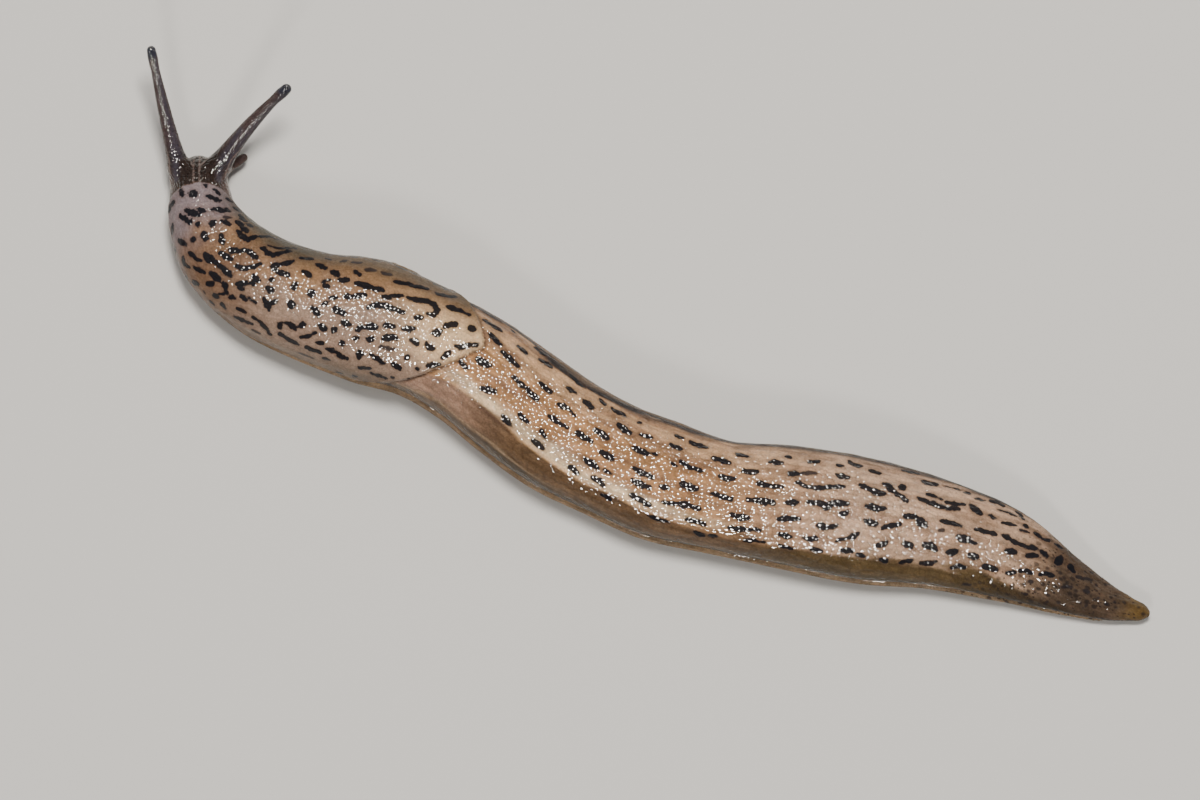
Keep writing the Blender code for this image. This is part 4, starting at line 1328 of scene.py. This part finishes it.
def unwrap(mesh, at):
    """OFBake: two strips of the body, its snout from the front, and each tentacle rolled out."""
    corners = Corners(mesh)
    half_ring = np.interp(at.along, TABLE_ALONG, TABLE_ARC[:, -1])[corners.vertices]
    on_sole = corners.mean(np.abs(at.around)) > 0.7 * half_ring
    middle = corners.mean(at.along)
    rear = middle > STRIP_LENGTH
    u = at.along[corners.vertices] - np.where(rear, STRIP_LENGTH - 0.5, 0.0)
    v = corners.unroll(at.around, on_sole, 2 * half_ring) + np.where(rear, 1.5, 0.5) * STRIP_HEIGHT
    front = middle < SNOUT_DEPTH
    snout = at.points[corners.vertices][front]
    u[front] = SNOUT_SPOT[0] + (snout[:, :2] - centre(SNOUT_DEPTH)) @ rightward(0.4)
    v[front] = SNOUT_SPOT[1] + snout[:, 2]
    spot, rise = FEELER_SPOT
    for feeler in at.feelers:
        on = corners.mostly(feeler.free)
        turn = corners.unroll(feeler.turn, corners.mean(np.abs(feeler.turn)) > 2.2, 2 * math.pi)
        u[on] = (spot + 1 + (turn + math.pi) * feeler.radius)[on]
        v[on] = (rise + feeler.part[corners.vertices] * feeler.length)[on]
        spot += 2 * math.pi * feeler.radius * 1.3 + 1.5
    size = max(spot, 2 * STRIP_HEIGHT) + 2
    flat = (np.stack([u, v], 1) + 1) / size
    layer = mesh.uv_layers.new(name="OFBake")
    layer.data.foreach_set("uv", np.clip(flat, 0, 1).astype(np.float32).ravel())


def make_skin():
    mesh = fused_mesh()
    points = read(mesh.vertices, "co", 3).astype(float) / MM
    points = smoothed(points, read(mesh.edges, "vertices", 2, np.int32))
    write_points(mesh, points)
    at = Places(points)
    add_layers(mesh, at)
    unwrap(mesh, at)
    write_points(mesh, points + read(mesh.vertices, "normal", 3) * relief(at)[:, None])
    mesh.shade_smooth()
    mesh.materials.append(skin_material())
    return add_object("skin", mesh)


def make_eye(name, shape, skin, material):
    """A dark dot set in the bulb at the end of an optic tentacle, looking forward and up."""
    inside = feeler_middle(shape, 1 - feeler_radius(shape, 1.0) / feeler_length(shape))
    ahead = unit(feeler_middle(shape, 1.0) - feeler_middle(shape, 0.9))
    up = unit(UPWARD - ahead * ahead[2])
    out = Vector(unit(ahead * 0.62 + up * 0.78))
    tree = surface_tree(skin.data, read(skin.data.vertices, "co", 3))
    surface = tree.ray_cast(Vector(inside * MM), out)[0]
    radius = EYE_RADIUS * shape["stoutness"]
    ball = bmesh.new()
    bmesh.ops.create_uvsphere(ball, u_segments=32, v_segments=20, radius=radius * MM)
    mesh = bpy.data.meshes.new(name)
    ball.to_mesh(mesh)
    ball.free()
    mesh.transform(Matrix.Translation(surface + out * (EYE_PROUD - radius) * MM))
    mesh.shade_smooth()
    mesh.materials.append(material)
    return add_object(name, mesh)


def make_floor():
    mesh = bpy.data.meshes.new("floor")
    corners = [(x * FLOOR_REACH, y * FLOOR_REACH, 0) for x, y in ((-1, -1), (1, -1), (1, 1), (-1, 1))]
    mesh.from_pydata(corners, [], [(0, 1, 2, 3)])
    floor = add_object("floor", mesh)
    n = Nodes("pale_floor")
    n.shade(base_color=FLOOR_COLOUR, roughness=0.8, specular_ior_level=0.0)
    mesh.materials.append(n.material)


def make_light(name, rise, aside, size, power, colour):
    right, top, away = camera_axes()
    light = bpy.data.lights.new(name, "AREA")
    light.shape = "DISK"
    light.size = size
    light.energy = power
    light.color = colour
    holder = add_object(name, light)
    way = (away + top * rise + right * aside).normalized()
    holder.location = VIEW_TARGET * MM + way * LIGHT_DISTANCE
    holder.rotation_euler = way.to_track_quat("Z", "Y").to_euler()
    return holder


def make_lights():
    """Soft lights that the wet gloss doesn't mirror, and lights that only the gloss does."""
    for row in SOFT_LIGHTS:
        make_light(*row).visible_glossy = False
    for row in GLINT_LIGHTS:
        make_light(*row).visible_diffuse = False


def make_sky():
    """Even light, stronger from above."""
    world = bpy.data.worlds.new("studio")
    world.use_nodes = True
    nodes = world.node_tree.nodes
    links = world.node_tree.links
    way = nodes.new("ShaderNodeTexCoord").outputs["Generated"]
    split = nodes.new("ShaderNodeSeparateXYZ")
    links.new(way, split.inputs[0])
    rise = nodes.new("ShaderNodeMapRange")
    links.new(split.outputs["Z"], rise.inputs["Value"])
    rise.inputs["To Min"].default_value = SKY_LOW
    rise.inputs["To Max"].default_value = SKY_HIGH
    links.new(rise.outputs[0], nodes["Background"].inputs["Strength"])
    nodes["Background"].inputs["Color"].default_value = SKY_COLOUR
    bpy.context.scene.world = world


def make_camera():
    right, top, away = camera_axes()
    lens = bpy.data.cameras.new("camera")
    lens.sensor_width = SENSOR_WIDTH
    lens.lens = SENSOR_WIDTH * VIEW_DISTANCE / VIEW_WIDTH
    lens.clip_start = 0.01
    camera = add_object("camera", lens)
    turn = Matrix((right, top, away)).transposed().to_4x4()
    camera.matrix_world = Matrix.Translation((VIEW_TARGET + away * VIEW_DISTANCE) * MM) @ turn
    bpy.context.scene.camera = camera


def main():
    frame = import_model()
    skin = make_skin()
    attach(skin, "root")
    flesh = [name for name in frame["nodes"] if not name.startswith("eye_")]
    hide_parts(*flesh)
    black = eye_material()
    for side, shape in zip(("left", "right"), OPTIC):
        eye = make_eye("eye_dot_" + side, shape, skin, black)
        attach(eye, "root")
        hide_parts("eye_" + side)
    make_floor()
    make_lights()
    make_sky()
    make_camera()


main()
